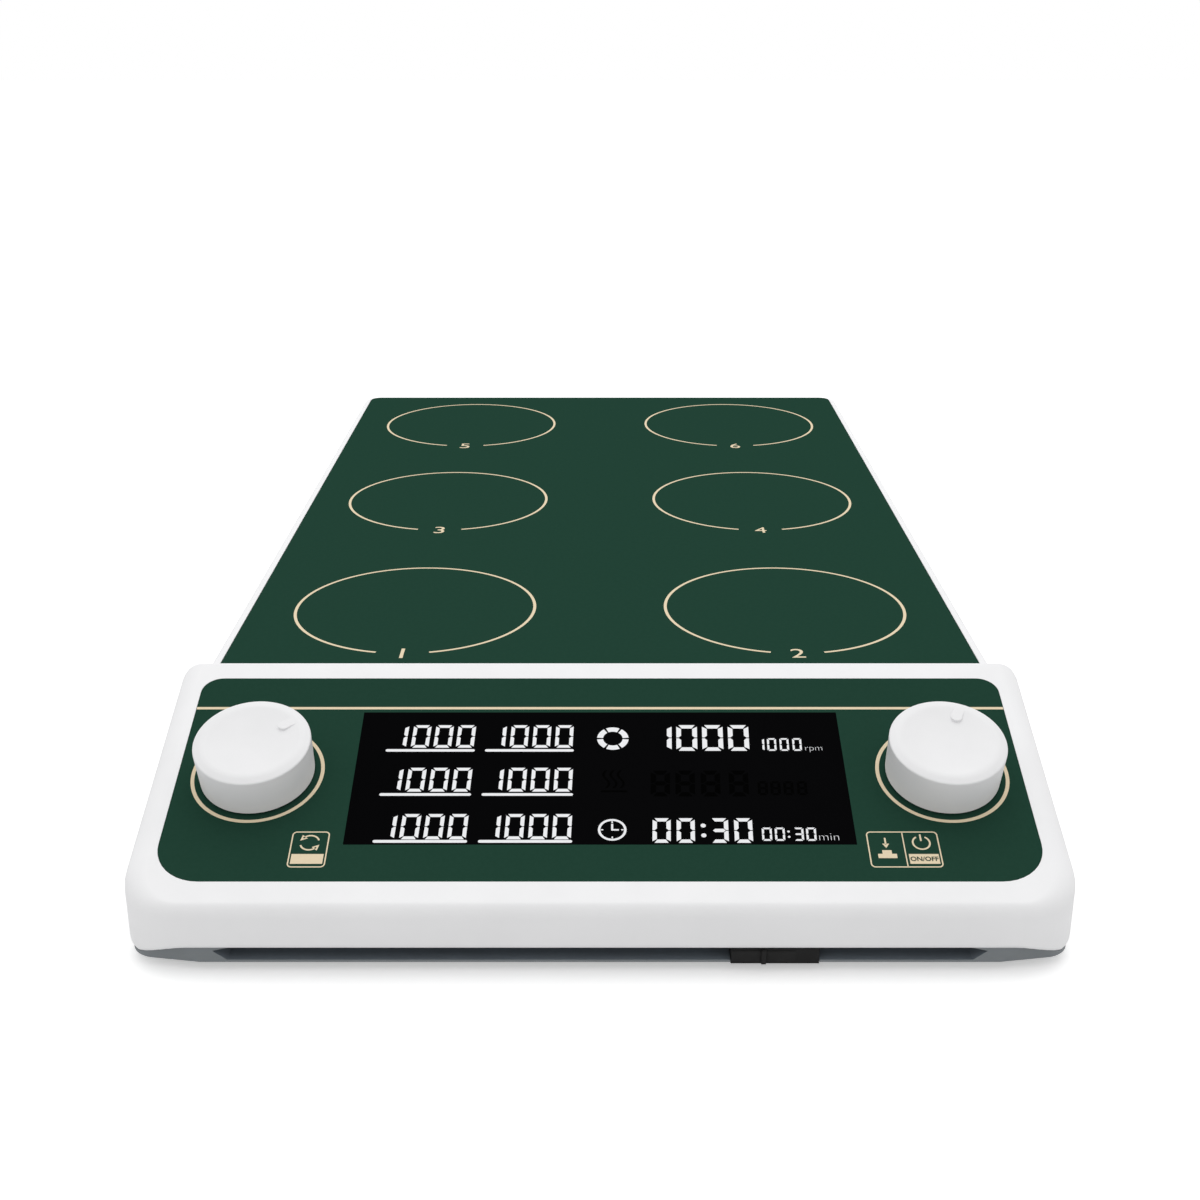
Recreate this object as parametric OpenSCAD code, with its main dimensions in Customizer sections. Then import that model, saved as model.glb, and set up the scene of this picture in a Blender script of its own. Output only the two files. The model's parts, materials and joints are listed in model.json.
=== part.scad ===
// Multi-position magnetic stirrer: a sloping control console in front of a flat stirring deck.
// Millimetres, +Z up, +Y to the rear. The origin is on the bench, under the middle of the whole outline.
// Inside the modules Y is measured from the console's front face, and placed() moves it to the origin.

/* [Stations] */
// Distance between the two columns of stations
pitch_x = 155; // [150:1:180]
// Distance between the rows of stations
pitch_y = 155; // [150:1:180]
// From the outer station centres to the plate's side edges
side_margin = 69; // [66:0.5:85]
// From the front station centres to the plate's front edge
front_margin = 59.8; // [56:0.1:75]
// From the rear station centres to the plate's rear edge
rear_margin = 69.2; // [64:0.1:85]

/* [Plate and deck] */
// Height of the plate's top face above the bench
plate_z = 65; // [63:0.5:76]
// Thickness of the plate
plate_t = 3; // [2:0.5:5]
// Radius of the plate's rear corners
plate_corner = 6; // [3:0.5:7]
// Gap between the plate's edges and the rim around it
plate_gap = 0.3; // [0.2:0.1:0.6]
// Thickness of the seal under the plate
gasket_t = 1; // [0.6:0.1:2]
// Width of the seal
gasket_w = 6; // [4:0.5:7]
// White border between the plate and the deck's outer faces
deck_border = 4; // [3.5:0.1:8]
// How far the deck's rim lies below the plate's top
rim_drop = 0.5; // [0.3:0.1:1.5]
// Width of the ledge that carries the plate
ledge_w = 8; // [7.5:0.5:14]
// Thickness of the ledge
ledge_t = 3; // [2:0.5:5]
// Wall of the console and deck shells
wall = 3; // [2.5:0.1:3.4]
// Radius of the deck's rear corners
deck_corner = 10; // [8:0.5:16]
// Small round on the shells' outer edges
edge_r = 2; // [1:0.1:2.2]
// Thickness of the ribs under the plate
rib_t = 3; // [2:0.5:5]
// Depth of the ribs under the plate
rib_h = 11; // [6:0.5:13]

/* [Console] */
// Depth of the console, from its front face to the deck
console_d = 113.4; // [108:0.1:125]
// How far the console stands out past each side of the deck
shoulder = 10.5; // [8:0.5:20]
// Slope of the console's face, in degrees
slope = 19.35; // [16:0.05:20.5]
// Level strip at the top of the slope
top_flat = 1.8; // [1:0.1:4]
// Radius of the console's front corners in plan
front_corner = 21; // [14:0.5:26]
// Round between the front face and the slope
lip_round = 4; // [2:0.5:6]
// Round along the sides of the slope
side_round = 8; // [4:0.5:9]
// Height of the shells' lower edge above the bench
shell_z = 5; // [4.7:0.1:5.4]
// Rise of the shell's lower edge along the front
arch_h = 5.5; // [5:0.1:6]

/* [Panel] */
// White border at each side of the printed film
panel_side = 10.5; // [8:0.5:14]
// From the front face to the film, level
lip_run = 10.8; // [9:0.1:14]
// From the film to the top of the slope, level
top_run = 7.1; // [5:0.1:10]
// Thickness of the printed film
film_t = 0.5; // [0.3:0.1:0.8]
// Corner radius of the film, lower corners
film_low_r = 16.5; // [8:0.5:20]
// Corner radius of the film, upper corners
film_top_r = 7.5; // [4:0.5:10]
// Width of the display window
display_w = 175.2; // [150:0.2:190]
// Height of the display window along the slope
display_h = 64.5; // [50:0.5:66]
// From the film's lower edge to the display window
display_s = 16.2; // [14:0.1:18]
// Thickness of the display lens
lens_t = 2; // [1.5:0.1:2.2]
// Ledge around the lens
lens_ledge = 3; // [2:0.5:4]

/* [Knobs] */
// Diameter of the knobs at the rim
knob_d = 41.5; // [36:0.5:44]
// Height of the knobs
knob_h = 16; // [15:0.5:18]
// From the film's side edge to the knob axis
knob_inset = 28.4; // [27.5:0.1:33]
// Gap between the knob's skirt and the panel at rest
knob_gap = 1; // [1:0.1:1.6]
// How much smaller the skirt is than the rim, on the radius
knob_taper = 0.5; // [0.2:0.1:1.5]
// Wall of the knob's skirt
knob_wall = 2.2; // [1.6:0.1:3]
// Thickness of the knob's top at its edge
knob_top = 2.8; // [2.4:0.1:3.5]
// Round on the knob's top edge
knob_round = 3.2; // [1.2:0.1:3.4]
// Depth of the dished top
dish_depth = 1.6; // [0.6:0.1:1.8]
// Radius of the dished top
dish_r = 17.2; // [16.4:0.2:17.2]
// Width of the raised pointer
pointer_w = 4.6; // [3:0.2:6]
// From the knob axis to the pointer's inner end
pointer_r = 13.6; // [10:0.2:14]
// Pointer of the left knob, degrees clockwise from up the slope
left_turn = 46; // [0:1:359]
// Pointer of the right knob, degrees clockwise from up the slope
right_turn = 22; // [0:1:359]
// How far a knob pushes in
push_travel = 0.7; // [0.4:0.1:0.7]

/* [Encoders] */
// Diameter of the encoder shafts
shaft_d = 6; // [5:0.5:6.4]
// Outer diameter of the threaded bushes
bush_d = 9; // [8.6:0.1:10]
// Width and length of the encoder bodies
encoder_w = 14; // [12:0.5:16]
// Height of a bush above the panel
bush_up = 5; // [4.4:0.2:5.4]
// Across the flats of the bush nuts
nut_af = 12; // [11.6:0.2:14]
// Thickness of the bush nuts
nut_t = 2; // [1.5:0.1:2.5]

/* [Drive] */
// Diameter of the motors
motor_d = 42; // [40:0.5:46]
// Height of the motor cans
motor_h = 22; // [21:0.5:24]
// Diameter of the motor shafts
spindle_d = 5; // [4:0.5:6]
// Outer diameter of the motor bushes
motor_bush_d = 9; // [8:0.5:10]
// Length of the motor bushes
motor_bush_l = 5; // [4.2:0.2:5.4]
// Diameter of the magnet holders
holder_d = 68; // [66:0.5:76]
// Thickness of the magnet holders
holder_t = 9; // [8:0.5:10]
// Diameter of a drive magnet
magnet_d = 20; // [16:0.5:22]
// Thickness of a drive magnet
magnet_t = 5; // [4:0.5:6.5]
// From the motor axis to a magnet's centre
magnet_r = 22; // [20.5:0.5:22]
// Air gap between the magnets and the plate
magnet_gap = 2; // [1.2:0.1:3]
// Thickness of the sheet that carries the motors
chassis_t = 1.5; // [1.2:0.1:2]

/* [Base] */
// Height of the base above the bench, on its feet
base_z = 3.6; // [3:0.1:4.2]
// Thickness of the base's floor
floor_t = 2.5; // [2:0.1:3]
// Wall of the base
base_wall = 2.5; // [2:0.1:3]
// How far the base lies inside the shells' outline
base_inset = 2.5; // [2:0.1:2.8]
// Radius of the base's front corners
base_corner = 8; // [6:0.5:12]
// From the console's sides to the ends of the base's straight front
base_run = 27.4; // [25:0.2:29]
// How far the base's front falls back at its corners
base_recede = 2.8; // [1.5:0.1:4]
// Depth of the recess along the front
recess_d = 12; // [8:0.5:14]
// Sill under the front recess
recess_sill = 1; // [0.8:0.1:1.4]
// From the console's sides to the ends of the front recess
recess_end = 31.8; // [31:0.2:50]
// How far the recess is shorter at its sill, at each end
recess_slant = 4.7; // [2:0.1:8]
// Height of the recess's pointed ends above its sill
recess_tip = 3.4; // [2:0.1:4]
// How far the recess is shorter at its top, at each end
recess_back = 5.9; // [2:0.1:8]
// Diameter of the rubber feet
foot_d = 20; // [14:0.5:24]

/* [Power] */
// Middle of the power switch, right of the middle
switch_x = 58.4; // [30:0.2:70]
// Width of the power switch
switch_w = 29.6; // [26:0.2:34]
// Height of the power switch
switch_h = 6.2; // [5.6:0.1:6.2]
// Depth of the power switch
switch_d = 17.5; // [15.5:0.1:19]
// Travel of the power switch's slide
slide_travel = 7.8; // [4:0.1:9]
// Width of the slide's rib
slide_rib = 1.6; // [1.2:0.1:3]
// Height of the inlet's middle above the bench
inlet_z = 28; // [24:0.5:34]
// Diameter of the inlet's threaded barrel
inlet_d = 11; // [10.6:0.1:12]
// Bore of the inlet's socket
socket_d = 6.4; // [5.5:0.1:7]
// Diameter of the inlet's centre pin
pin_d = 2; // [1.3:0.1:2.5]

/* [Fasteners] */
// Diameter of the screws
screw_d = 3; // [2.5:0.1:3.4]
// Diameter of the screw heads
head_d = 5.6; // [5:0.1:6.2]
// Height of the screw heads
head_h = 1.6; // [1.4:0.1:2]
// Outer diameter of the moulded screw bosses
boss_d = 9; // [7.6:0.2:10]

/* [Hidden] */
columns = 2;
rows = 3;
stations = columns * rows;

$fn = 64;
// Facets of the rounds on the blended shell forms
form_fn = 28;
// Facets of the same rounds inside the shells
cavity_fn = 24;
// Facets of the wide ball that dishes the knobs' tops
dish_fn = 720;

// Clearances
running_gap = 0.03;
seat_gap = 0.02;
film_gap = 0.1;
slack = 0.3;
screw_gap = 0.1;
lip_gap = 0.25;
overlap = 0.5;
overrun = 20;
// How far a cut runs past the face that it opens
past = 1;
min_round = 1;

// Plan of the whole object
plate_w = (columns - 1) * pitch_x + 2 * side_margin;
plate_d = front_margin + (rows - 1) * pitch_y + rear_margin;
plate_y = console_d + plate_gap;
deck_w = plate_w + 2 * deck_border;
deck_half = deck_w / 2;
console_w = deck_w + 2 * shoulder;
console_half = console_w / 2;
overall_d = plate_y + plate_d + deck_border;
row_first = plate_y + front_margin;
row_last = row_first + (rows - 1) * pitch_y;

function station_x(i) = ((i - 1) % columns - (columns - 1) / 2) * pitch_x;
function station_y(i) = row_first + floor((i - 1) / columns) * pitch_y;
function row_y(r) = row_first + r * pitch_y;
function rib_y(r) = row_y(r) - pitch_y / 2;

// Heights of the deck, from the plate down
plate_low = plate_z - plate_t;
ledge_z = plate_low - gasket_t;
ledge_low = ledge_z - ledge_t;
deck_top = plate_z - rim_drop;
holder_z = plate_low - magnet_gap;
holder_low = holder_z - holder_t;
hub_d = 14;
hub_l = 3.5;
hub_low = holder_low - hub_l;
rotor_gap = 0.8;
motor_boss_d = 16;
motor_boss_h = 1.6;
motor_boss_z = hub_low - rotor_gap;
can_z = motor_boss_z - motor_boss_h;
can_low = can_z - motor_h;
can_wall = 1.5;
can_end = 2.5;
chassis_low = can_low - chassis_t;

// Motor internals, above the can's lower face
seat_floor = 1;
seat_wall = 2;
seat_d = motor_bush_d + 2 * seat_wall;
seat_top = can_low + seat_floor + motor_bush_l;
bush_low_z = can_low + seat_floor;
bush_high_z = motor_boss_z - motor_bush_l;
core_d = 28;
core_end = 1.4;
core_collar_d = 8;
stator_gap = 0.8;
spindle_end = 1;
light_hole_d = 16;
motor_screw_r = 15.5;
motor_screws_each = 3;
motor_screw_l = 3.6;

// The console's slope and its panel
function slope_z(y) = plate_z - (console_d - top_flat - y) * tan(slope);
function slope_s(y, w) = (y - lip_run + w * sin(slope)) / cos(slope);
panel_w = console_w - 2 * panel_side;
panel_l = (console_d - top_flat - top_run - lip_run) / cos(slope);
knob_x = panel_w / 2 - knob_inset;
knob_s = panel_l / 2;
sides = [-1, 1];

// Encoder, below the panel's face
cover_t = 1.6;
flange_step = 1;
flange_d = shaft_d + 2 * flange_step;
flange_t = 1;
plunger_step = 0.4;
plunger_d = shaft_d + 2 * plunger_step;
plunger_l = 2.8;
encoder_floor = 0.8;
encoder_top = -wall - film_gap;
flange_top = encoder_top - cover_t - slack;
flange_low = flange_top - flange_t;
plunger_low = flange_low - plunger_l;
encoder_low = plunger_low - push_travel - slack - encoder_floor;
shaft_short = 1;
shaft_top = knob_gap + knob_h - knob_top - shaft_short;
flat_depth = 1.2;
flat_l = 6;
knob_hub_d = 12;
knob_hub_low = bush_up + push_travel + slack;
pointer_drop = 0.1;

// Boards
board_t = 1.6;
board_margin = 8;
board_half = knob_x + encoder_w / 2 + board_margin;
board_s0 = 8;
board_rear = 10;
board_s1 = panel_l - board_rear;
board_hole_in = 6;
board_low = encoder_low - board_t;
board_boss_d = 7;
board_screw_l = 7;
glass_t = 2.8;
glass_in = 1;
socket_w = 20;
socket_t = 6;
socket_h = 7;
socket_s = 75;
chip_w = 12;
chip_t = 1.6;
chip_in = 1.6;
chips_each = 2;
chip_pitch = (display_w / 2 - chip_in - chip_w / 2) / chips_each;
ribbon_t = 1;
ribbon_in = 1;
ribbon_w = socket_w - 2 * ribbon_in;
ribbon_drop = 6;

// Base
floor_z = base_z + floor_t;
lip_in = wall + lip_gap;
lip_t = 1.75;
lip_up = 6.9;
arch_z = shell_z + arch_h;
arch_end = 23;
arch_half = console_half - arch_end;
arch_run = 17;
arch_steps = 10;
face_end = 14;
face_half = console_half - face_end;
beam_end = 3;
beam_half = console_half - recess_end + beam_end;
recess_web = 1.1;
recess_z = base_z + recess_sill;
recess_top = arch_z - recess_web;
recess_half = console_half - recess_end;
housing_screw_l = 14;
head_sink = 1.2;
console_boss_in = 13;
console_boss_x = console_half - console_boss_in;
console_boss_front = 32;
console_boss_rear = 21;
console_boss_y = [console_boss_front, console_d - console_boss_rear];
deck_boss_in = 11.5;
deck_boss_x = deck_half - deck_boss_in;
deck_boss_end = 22;
deck_boss_y = [console_d + deck_boss_end, (console_d + overall_d) / 2, overall_d - deck_boss_end];
web_up = 2;
web_low = shell_z + lip_up + web_up;
web_end = deck_half - wall + overlap;
foot_stem_d = 5;
foot_stem_l = 2;
foot_front_in = 32;
foot_front_y = 38;
foot_rear_in = 35;
foot_places = concat(
    [for (m = sides) [m * (console_half - foot_front_in), foot_front_y]],
    [for (m = sides) [m * (deck_half - foot_rear_in), overall_d - foot_rear_in]]
);

// Chassis
chassis_margin = 14;
chassis_half = pitch_x / 2 + motor_d / 2 + chassis_margin;
chassis_reach = 40;
chassis_post_in = 7;
chassis_post_x = chassis_half - chassis_post_in;
chassis_post_end = chassis_reach - chassis_post_in;
chassis_post_y = [
    row_first - chassis_post_end, row_first + pitch_y / 2,
    row_last - pitch_y / 2, row_last + chassis_post_end
];
chassis_screw_l = 8;
wire_gap = 6.5;
wire_x = pitch_x / 2 - motor_d / 2 - wire_gap;
wire_hole_d = 8;

// Drive board
drive_half = 75;
drive_y0 = 60;
drive_rear = 9;
drive_y1 = console_d - drive_rear;
drive_z = 14;
drive_screw_l = 6;
plug_w = 16;
plug_t = 6;
plug_h = 7;
cap_d = 12;
cap_h = 14;
cap_x = 45;
driver_w = 10;
driver_t = 2;
driver_pitch = 20;

// Wiring
trunk_d = 6;
branch_d = 3;
wire_joint = 1.1;
trunk_z = floor_z + trunk_d * wire_joint / 2;
branch_up = 5;
trunk_out = 6;
trunk_run = 14;
trunk_end = row_last + chassis_reach + trunk_d;

// Power switch
switch_gap = 0.1;
switch_proud = 0.2;
switch_y = base_inset - switch_proud;
switch_z = recess_top - switch_gap - switch_h;
slide_stem_w = 5;
slide_stem_h = 2.4;
slide_stem_d = 6;
slide_play = 0.1;
slide_rib_t = 1.2;
slide_rib_low = 0.6;
slide_rib_in = 0.3;

// Inlet
inlet_pocket_d = 20;
inlet_pocket = 4;
inlet_boss_d = 26;
inlet_lead = 1.5;
inlet_flange_d = 16;
inlet_flange_t = 2;
inlet_body_w = 12;
inlet_body_l = 8;
socket_deep = 9;
pin_short = 1;
inlet_nut_af = 14;
inlet_nut_t = 2;

// Moves a module's front-based Y to the origin under the middle of the outline
module placed() {
    translate([0, -overall_d / 2, 0]) children();
}

// Local frame of the sloping panel: x across, y up the slope from the film's lower edge, z out of the face
module on_panel() {
    translate([0, lip_run, slope_z(lip_run)]) rotate([slope, 0, 0]) children();
}

module at_knob(side) {
    on_panel() translate([side * knob_x, knob_s, 0]) children();
}

module at_station(i) {
    placed() translate([station_x(i), station_y(i), 0]) children();
}

// Box that is centred on X
module bar(w, y0, y1, z0, z1) {
    translate([-w / 2, y0, z0]) cube([w, y1 - y0, z1 - z0]);
}

// Ring of round section that rounds a corner in a blended form
module edge_ring(r, round_r) {
    rotate_extrude() translate([r - round_r, 0]) circle(round_r);
}

// Rectangle centred on X whose rear corners are round
module rear_round(w, y0, y1, r) {
    translate([-w / 2, y0]) square([w, y1 - r - y0]);
    translate([-w / 2 + r, y0]) square([w - 2 * r, y1 - y0]);
    for (m = sides) translate([m * (w / 2 - r), y1 - r]) circle(r);
}

// Rectangle centred on X with one radius for its lower corners and one for its upper corners
module panel_outline(w, l, r_low, r_top) {
    translate([-w / 2, r_low]) square([w, l - r_low - r_top]);
    translate([-w / 2 + r_low, 0]) square([w - 2 * r_low, l / 2]);
    translate([-w / 2 + r_top, l / 2]) square([w - 2 * r_top, l / 2]);
    for (m = sides) {
        translate([m * (w / 2 - r_low), r_low]) circle(r_low);
        translate([m * (w / 2 - r_top), l - r_top]) circle(r_top);
    }
}

// Round bar from one point to another, with a slightly thicker round joint at each end
module wire(from, to, d) {
    v = to - from;
    l = norm(v);
    translate(from) rotate([0, acos(v[2] / l), atan2(v[1], v[0])]) cylinder(d = d, h = l);
    translate(from) sphere(d = d * wire_joint);
    translate(to) sphere(d = d * wire_joint);
}

// Screw with its head below z = 0 and its shank above
module screw(l) {
    translate([0, 0, -head_h]) cylinder(d = head_d, h = head_h);
    cylinder(d = screw_d, h = l);
}

module screw_hole(l) {
    cylinder(d = screw_d + 2 * screw_gap, h = l);
}

// Outline of the console, drawn in by a distance t; the drawn-in form runs out at the bottom and rear
module console_form(t) {
    half = console_half - t;
    corner = front_corner - t;
    lip = max(lip_round - t, min_round);
    side = max(side_round - t, min_round);
    low = (t > 0) ? shell_z - overrun : shell_z;
    rear = (t > 0) ? console_d + overlap : console_d;
    lip_y = t + (corner - lip) * cos(slope) + lip;
    intersection() {
        hull() {
            for (m = sides) {
                translate([m * (half - corner), t + corner, low + edge_r]) edge_ring(corner, edge_r);
                translate([m * (half - edge_r), console_d + overrun, low + edge_r]) sphere(edge_r);
                on_panel() {
                    translate([m * (half - corner), slope_s(lip_y, -t - lip), -t - lip])
                        edge_ring(corner, lip);
                    for (y = [front_corner + side_round, console_d + overrun])
                        translate([m * (half - side), slope_s(y, -t - side), -t - side]) sphere(side);
                }
            }
        }
        bar(console_w + 2 * past, -past, rear, low - past, plate_z - t);
    }
}

module console_shell() {
    color("white") placed() difference() {
        union() {
            difference() {
                console_form(0, $fn = form_fn);
                intersection() {
                    console_form(wall, $fn = cavity_fn);
                    union() {
                        bar(console_w, 0, console_d - wall, 0, plate_z);
                        bar(deck_w - 2 * wall, 0, console_d + past, 0, plate_z);
                    }
                }
            }
            console_bosses();
            on_panel() board_posts();
        }
        on_panel() {
            translate([0, -film_gap, -film_t]) linear_extrude(film_t + past)
                panel_outline(panel_w + 2 * film_gap, panel_l + 2 * film_gap, film_low_r, film_top_r);
            display_opening();
            for (p = board_holes()) translate([p[0], p[1], encoder_low - past])
                screw_hole(board_screw_l + past);
            for (m = sides) translate([m * knob_x, knob_s, -wall - past])
                cylinder(d = bush_d + 2 * film_gap, h = wall + 2 * past);
        }
        for (m = sides, y = console_boss_y)
            translate([m * console_boss_x, y, floor_z - past]) screw_hole(housing_screw_l);
        front_arch();
    }
}

module console_bosses() {
    for (m = sides, y = console_boss_y)
        translate([m * console_boss_x, y, floor_z])
            cylinder(d = boss_d, h = slope_z(y - boss_d / 2) - slack - floor_z);
}

function board_holes() = [
    for (m = sides, s = [board_s0 + board_hole_in, board_s1 - board_hole_in])
        [m * (board_half - board_hole_in), s]
];

module board_posts() {
    for (p = board_holes())
        translate([p[0], p[1], encoder_low]) cylinder(d = board_boss_d, h = -encoder_low - wall + overlap);
}

module display_opening() {
    translate([-display_w / 2 - film_gap, display_s - film_gap, -lens_t])
        cube([display_w + 2 * film_gap, display_h + 2 * film_gap, lens_t + past]);
    translate([-display_w / 2 + lens_ledge, display_s + lens_ledge, -wall - past])
        cube([display_w - 2 * lens_ledge, display_h - 2 * lens_ledge, wall + past]);
}

// Rise of the lower edge along the console's front, over the base's face
module front_arch() {
    rise = [for (k = [0:arch_steps])
        [arch_half + arch_run * k / arch_steps, shell_z + arch_h * cos(90 * k / arch_steps)]];
    end = concat(rise, [[arch_half + arch_run, shell_z - past]]);
    other = [for (k = [len(end) - 1:-1:0]) [-end[k][0], end[k][1]]];
    translate([0, front_corner, 0]) rotate([90, 0, 0]) linear_extrude(front_corner + past)
        polygon(concat(end, other));
}

module deck_form() {
    intersection() {
        hull() for (m = sides, z = [shell_z + edge_r, deck_top - edge_r]) {
            translate([m * (deck_half - edge_r), console_d - overrun, z]) sphere(edge_r);
            translate([m * (deck_half - deck_corner), overall_d - deck_corner, z])
                edge_ring(deck_corner, edge_r);
        }
        bar(deck_w + 2 * past, console_d, overall_d + past, 0, plate_z);
    }
}

module deck_cavity() {
    translate([0, 0, shell_z - past]) linear_extrude(ledge_low - shell_z + past)
        rear_round(deck_w - 2 * wall, console_d - past, overall_d - wall, deck_corner - wall);
    translate([0, 0, ledge_low - past]) linear_extrude(plate_z)
        rear_round(plate_w - 2 * ledge_w, plate_y + ledge_w, plate_y + plate_d - ledge_w, min_round);
    translate([0, 0, ledge_z]) linear_extrude(plate_z)
        rear_round(plate_w + 2 * plate_gap, console_d - past, plate_y + plate_d + plate_gap,
            plate_corner + plate_gap);
}

// Ribs that carry the middle of the plate, a strip of the given width and depth
module plate_ribs(w, z0, z1) {
    for (r = [1:rows - 1]) bar(deck_w - 2 * wall, rib_y(r) - w / 2, rib_y(r) + w / 2, z0, z1);
    bar(w, plate_y + overlap, overall_d - wall, z0, z1);
}

module deck_bosses() {
    for (m = sides, y = deck_boss_y) {
        translate([m * deck_boss_x, y, floor_z]) cylinder(d = boss_d, h = ledge_low + overlap - floor_z);
        translate([m * (deck_boss_x + web_end) / 2, 0, 0])
            bar(web_end - deck_boss_x, y - rib_t / 2, y + rib_t / 2, web_low, ledge_low + overlap);
    }
}

module deck_shell() {
    color("white") placed() difference() {
        union() {
            difference() {
                deck_form($fn = form_fn);
                deck_cavity();
            }
            plate_ribs(rib_t, ledge_z - rib_h, ledge_z);
            deck_bosses();
            translate([0, overall_d - wall + overlap, inlet_z]) rotate([90, 0, 0])
                cylinder(d = inlet_boss_d, h = inlet_pocket + overlap);
        }
        for (m = sides, y = deck_boss_y)
            translate([m * deck_boss_x, y, floor_z - past]) screw_hole(housing_screw_l);
        translate([0, overall_d + past, inlet_z]) rotate([90, 0, 0])
            cylinder(d = inlet_pocket_d, h = inlet_pocket + past);
        translate([0, overall_d + past, inlet_z]) rotate([90, 0, 0])
            cylinder(d = inlet_d + 2 * film_gap, h = wall + inlet_pocket + 2 * past);
    }
}

module top_plate() {
    color("darkslategray") placed() translate([0, 0, plate_low]) linear_extrude(plate_t)
        rear_round(plate_w, plate_y, plate_y + plate_d, plate_corner);
}

module plate_gasket() {
    color("dimgray") placed() translate([0, 0, ledge_z]) {
        linear_extrude(gasket_t) difference() {
            rear_round(plate_w, plate_y, plate_y + plate_d, plate_corner);
            rear_round(plate_w - 2 * gasket_w, plate_y + gasket_w, plate_y + plate_d - gasket_w, min_round);
        }
        for (r = [1:rows - 1])
            bar(plate_w - gasket_w, rib_y(r) - rib_t / 2, rib_y(r) + rib_t / 2, 0, gasket_t);
        bar(rib_t, plate_y + gasket_w / 2, plate_y + plate_d - gasket_w / 2, 0, gasket_t);
    }
}

module panel_overlay() {
    color("darkslategray") placed() on_panel() translate([0, 0, -film_t])
        linear_extrude(film_t) difference() {
            panel_outline(panel_w, panel_l, film_low_r, film_top_r);
            translate([-display_w / 2 - film_gap, display_s - film_gap])
                square([display_w + 2 * film_gap, display_h + 2 * film_gap]);
            for (m = sides) translate([m * knob_x, knob_s]) circle(d = bush_d + 2 * film_gap);
        }
}

module display_window() {
    color("black") placed() on_panel() translate([-display_w / 2, display_s, -lens_t])
        cube([display_w, display_h, lens_t]);
}

// Flat layer behind the display window
module display_layer(z0, z1) {
    placed() on_panel() translate([-display_w / 2 + glass_in, display_s + glass_in, z0])
        cube([display_w - 2 * glass_in, display_h - 2 * glass_in, z1 - z0]);
}

module lcd_glass() {
    color("gray") display_layer(-wall - slack - glass_t, -wall - slack);
}

module lcd_backlight() {
    color("gainsboro") display_layer(encoder_low, -wall - slack - glass_t);
}

module control_board() {
    color("darkgreen") placed() on_panel() difference() {
        translate([-board_half, board_s0, board_low]) cube([2 * board_half, board_s1 - board_s0, board_t]);
        for (p = board_holes()) translate([p[0], p[1], board_low - past]) screw_hole(board_t + 2 * past);
    }
}

module control_parts() {
    color("dimgray") placed() on_panel() {
        translate([-socket_w / 2, socket_s - socket_t / 2, board_low - socket_h])
            cube([socket_w, socket_t, socket_h]);
        for (k = [-chips_each:chips_each])
            translate([k * chip_pitch - chip_w / 2, board_s1 / 2, board_low - chip_t])
                cube([chip_w, chip_w, chip_t]);
    }
}

module encoder_body(side) {
    color("silver") placed() at_knob(side) difference() {
        union() {
            translate([-encoder_w / 2, -encoder_w / 2, encoder_low])
                cube([encoder_w, encoder_w, encoder_top - encoder_low]);
            translate([0, 0, encoder_top - overlap])
                cylinder(d = bush_d, h = bush_up - encoder_top + overlap);
        }
        translate([0, 0, encoder_low + encoder_floor])
            cylinder(d = plunger_d + 2 * running_gap, h = flange_top - encoder_low - encoder_floor);
        translate([0, 0, flange_low - push_travel - slack])
            cylinder(d = flange_d + 2 * slack, h = flange_t + push_travel + 2 * slack);
        translate([0, 0, flange_low])
            cylinder(d = shaft_d + 2 * running_gap, h = bush_up - flange_low + past);
    }
}

module push_plunger(side) {
    color("ivory") placed() at_knob(side) translate([0, 0, plunger_low])
        cylinder(d = plunger_d, h = plunger_l);
}

// Round bar with a flat along its upper end
module flatted_shaft(d, z0, z1) {
    difference() {
        translate([0, 0, z0]) cylinder(d = d, h = z1 - z0);
        translate([-d, shaft_d / 2 - flat_depth + (d - shaft_d) / 2, shaft_top - flat_l])
            cube([2 * d, d, 2 * flat_l]);
    }
}

module encoder_shaft(side, turn) {
    color("silver") placed() at_knob(side) rotate([0, 0, -turn]) {
        flatted_shaft(shaft_d, flange_low, shaft_top);
        translate([0, 0, flange_low]) cylinder(d = flange_d, h = flange_t);
    }
}

// Half section of the knob's outer form
module knob_section() {
    rim = knob_d / 2;
    polygon([[0, 0], [rim - knob_taper, 0], [rim, knob_h - knob_round], [0, knob_h - knob_round]]);
    square([rim - knob_round, knob_h]);
    translate([rim - knob_round, knob_h - knob_round]) circle(knob_round);
}

module knob_form() {
    dish_ball = (dish_r * dish_r + dish_depth * dish_depth) / (2 * dish_depth);
    rotate_extrude() difference() {
        intersection() {
            knob_section();
            square([knob_d, knob_h]);
        }
        translate([0, knob_h - dish_depth + dish_ball]) circle(dish_ball, $fn = dish_fn);
    }
    translate([0, pointer_r + pointer_w / 2, knob_h - knob_top])
        cylinder(d = pointer_w, h = knob_top - pointer_drop);
    translate([-pointer_w / 2, pointer_r + pointer_w / 2, knob_h - knob_top])
        cube([pointer_w, dish_r - pointer_r - pointer_w / 2, knob_top - pointer_drop]);
}

module knob(side, turn) {
    color("whitesmoke") placed() at_knob(side) rotate([0, 0, -turn]) difference() {
        translate([0, 0, knob_gap]) knob_form();
        difference() {
            translate([0, 0, knob_gap - past])
                cylinder(r = knob_d / 2 - knob_taper - knob_wall, h = knob_h - knob_top + past);
            translate([0, 0, knob_hub_low]) cylinder(d = knob_hub_d, h = knob_h);
        }
        flatted_shaft(shaft_d + 2 * seat_gap, knob_hub_low - past, shaft_top + seat_gap);
    }
}

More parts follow.
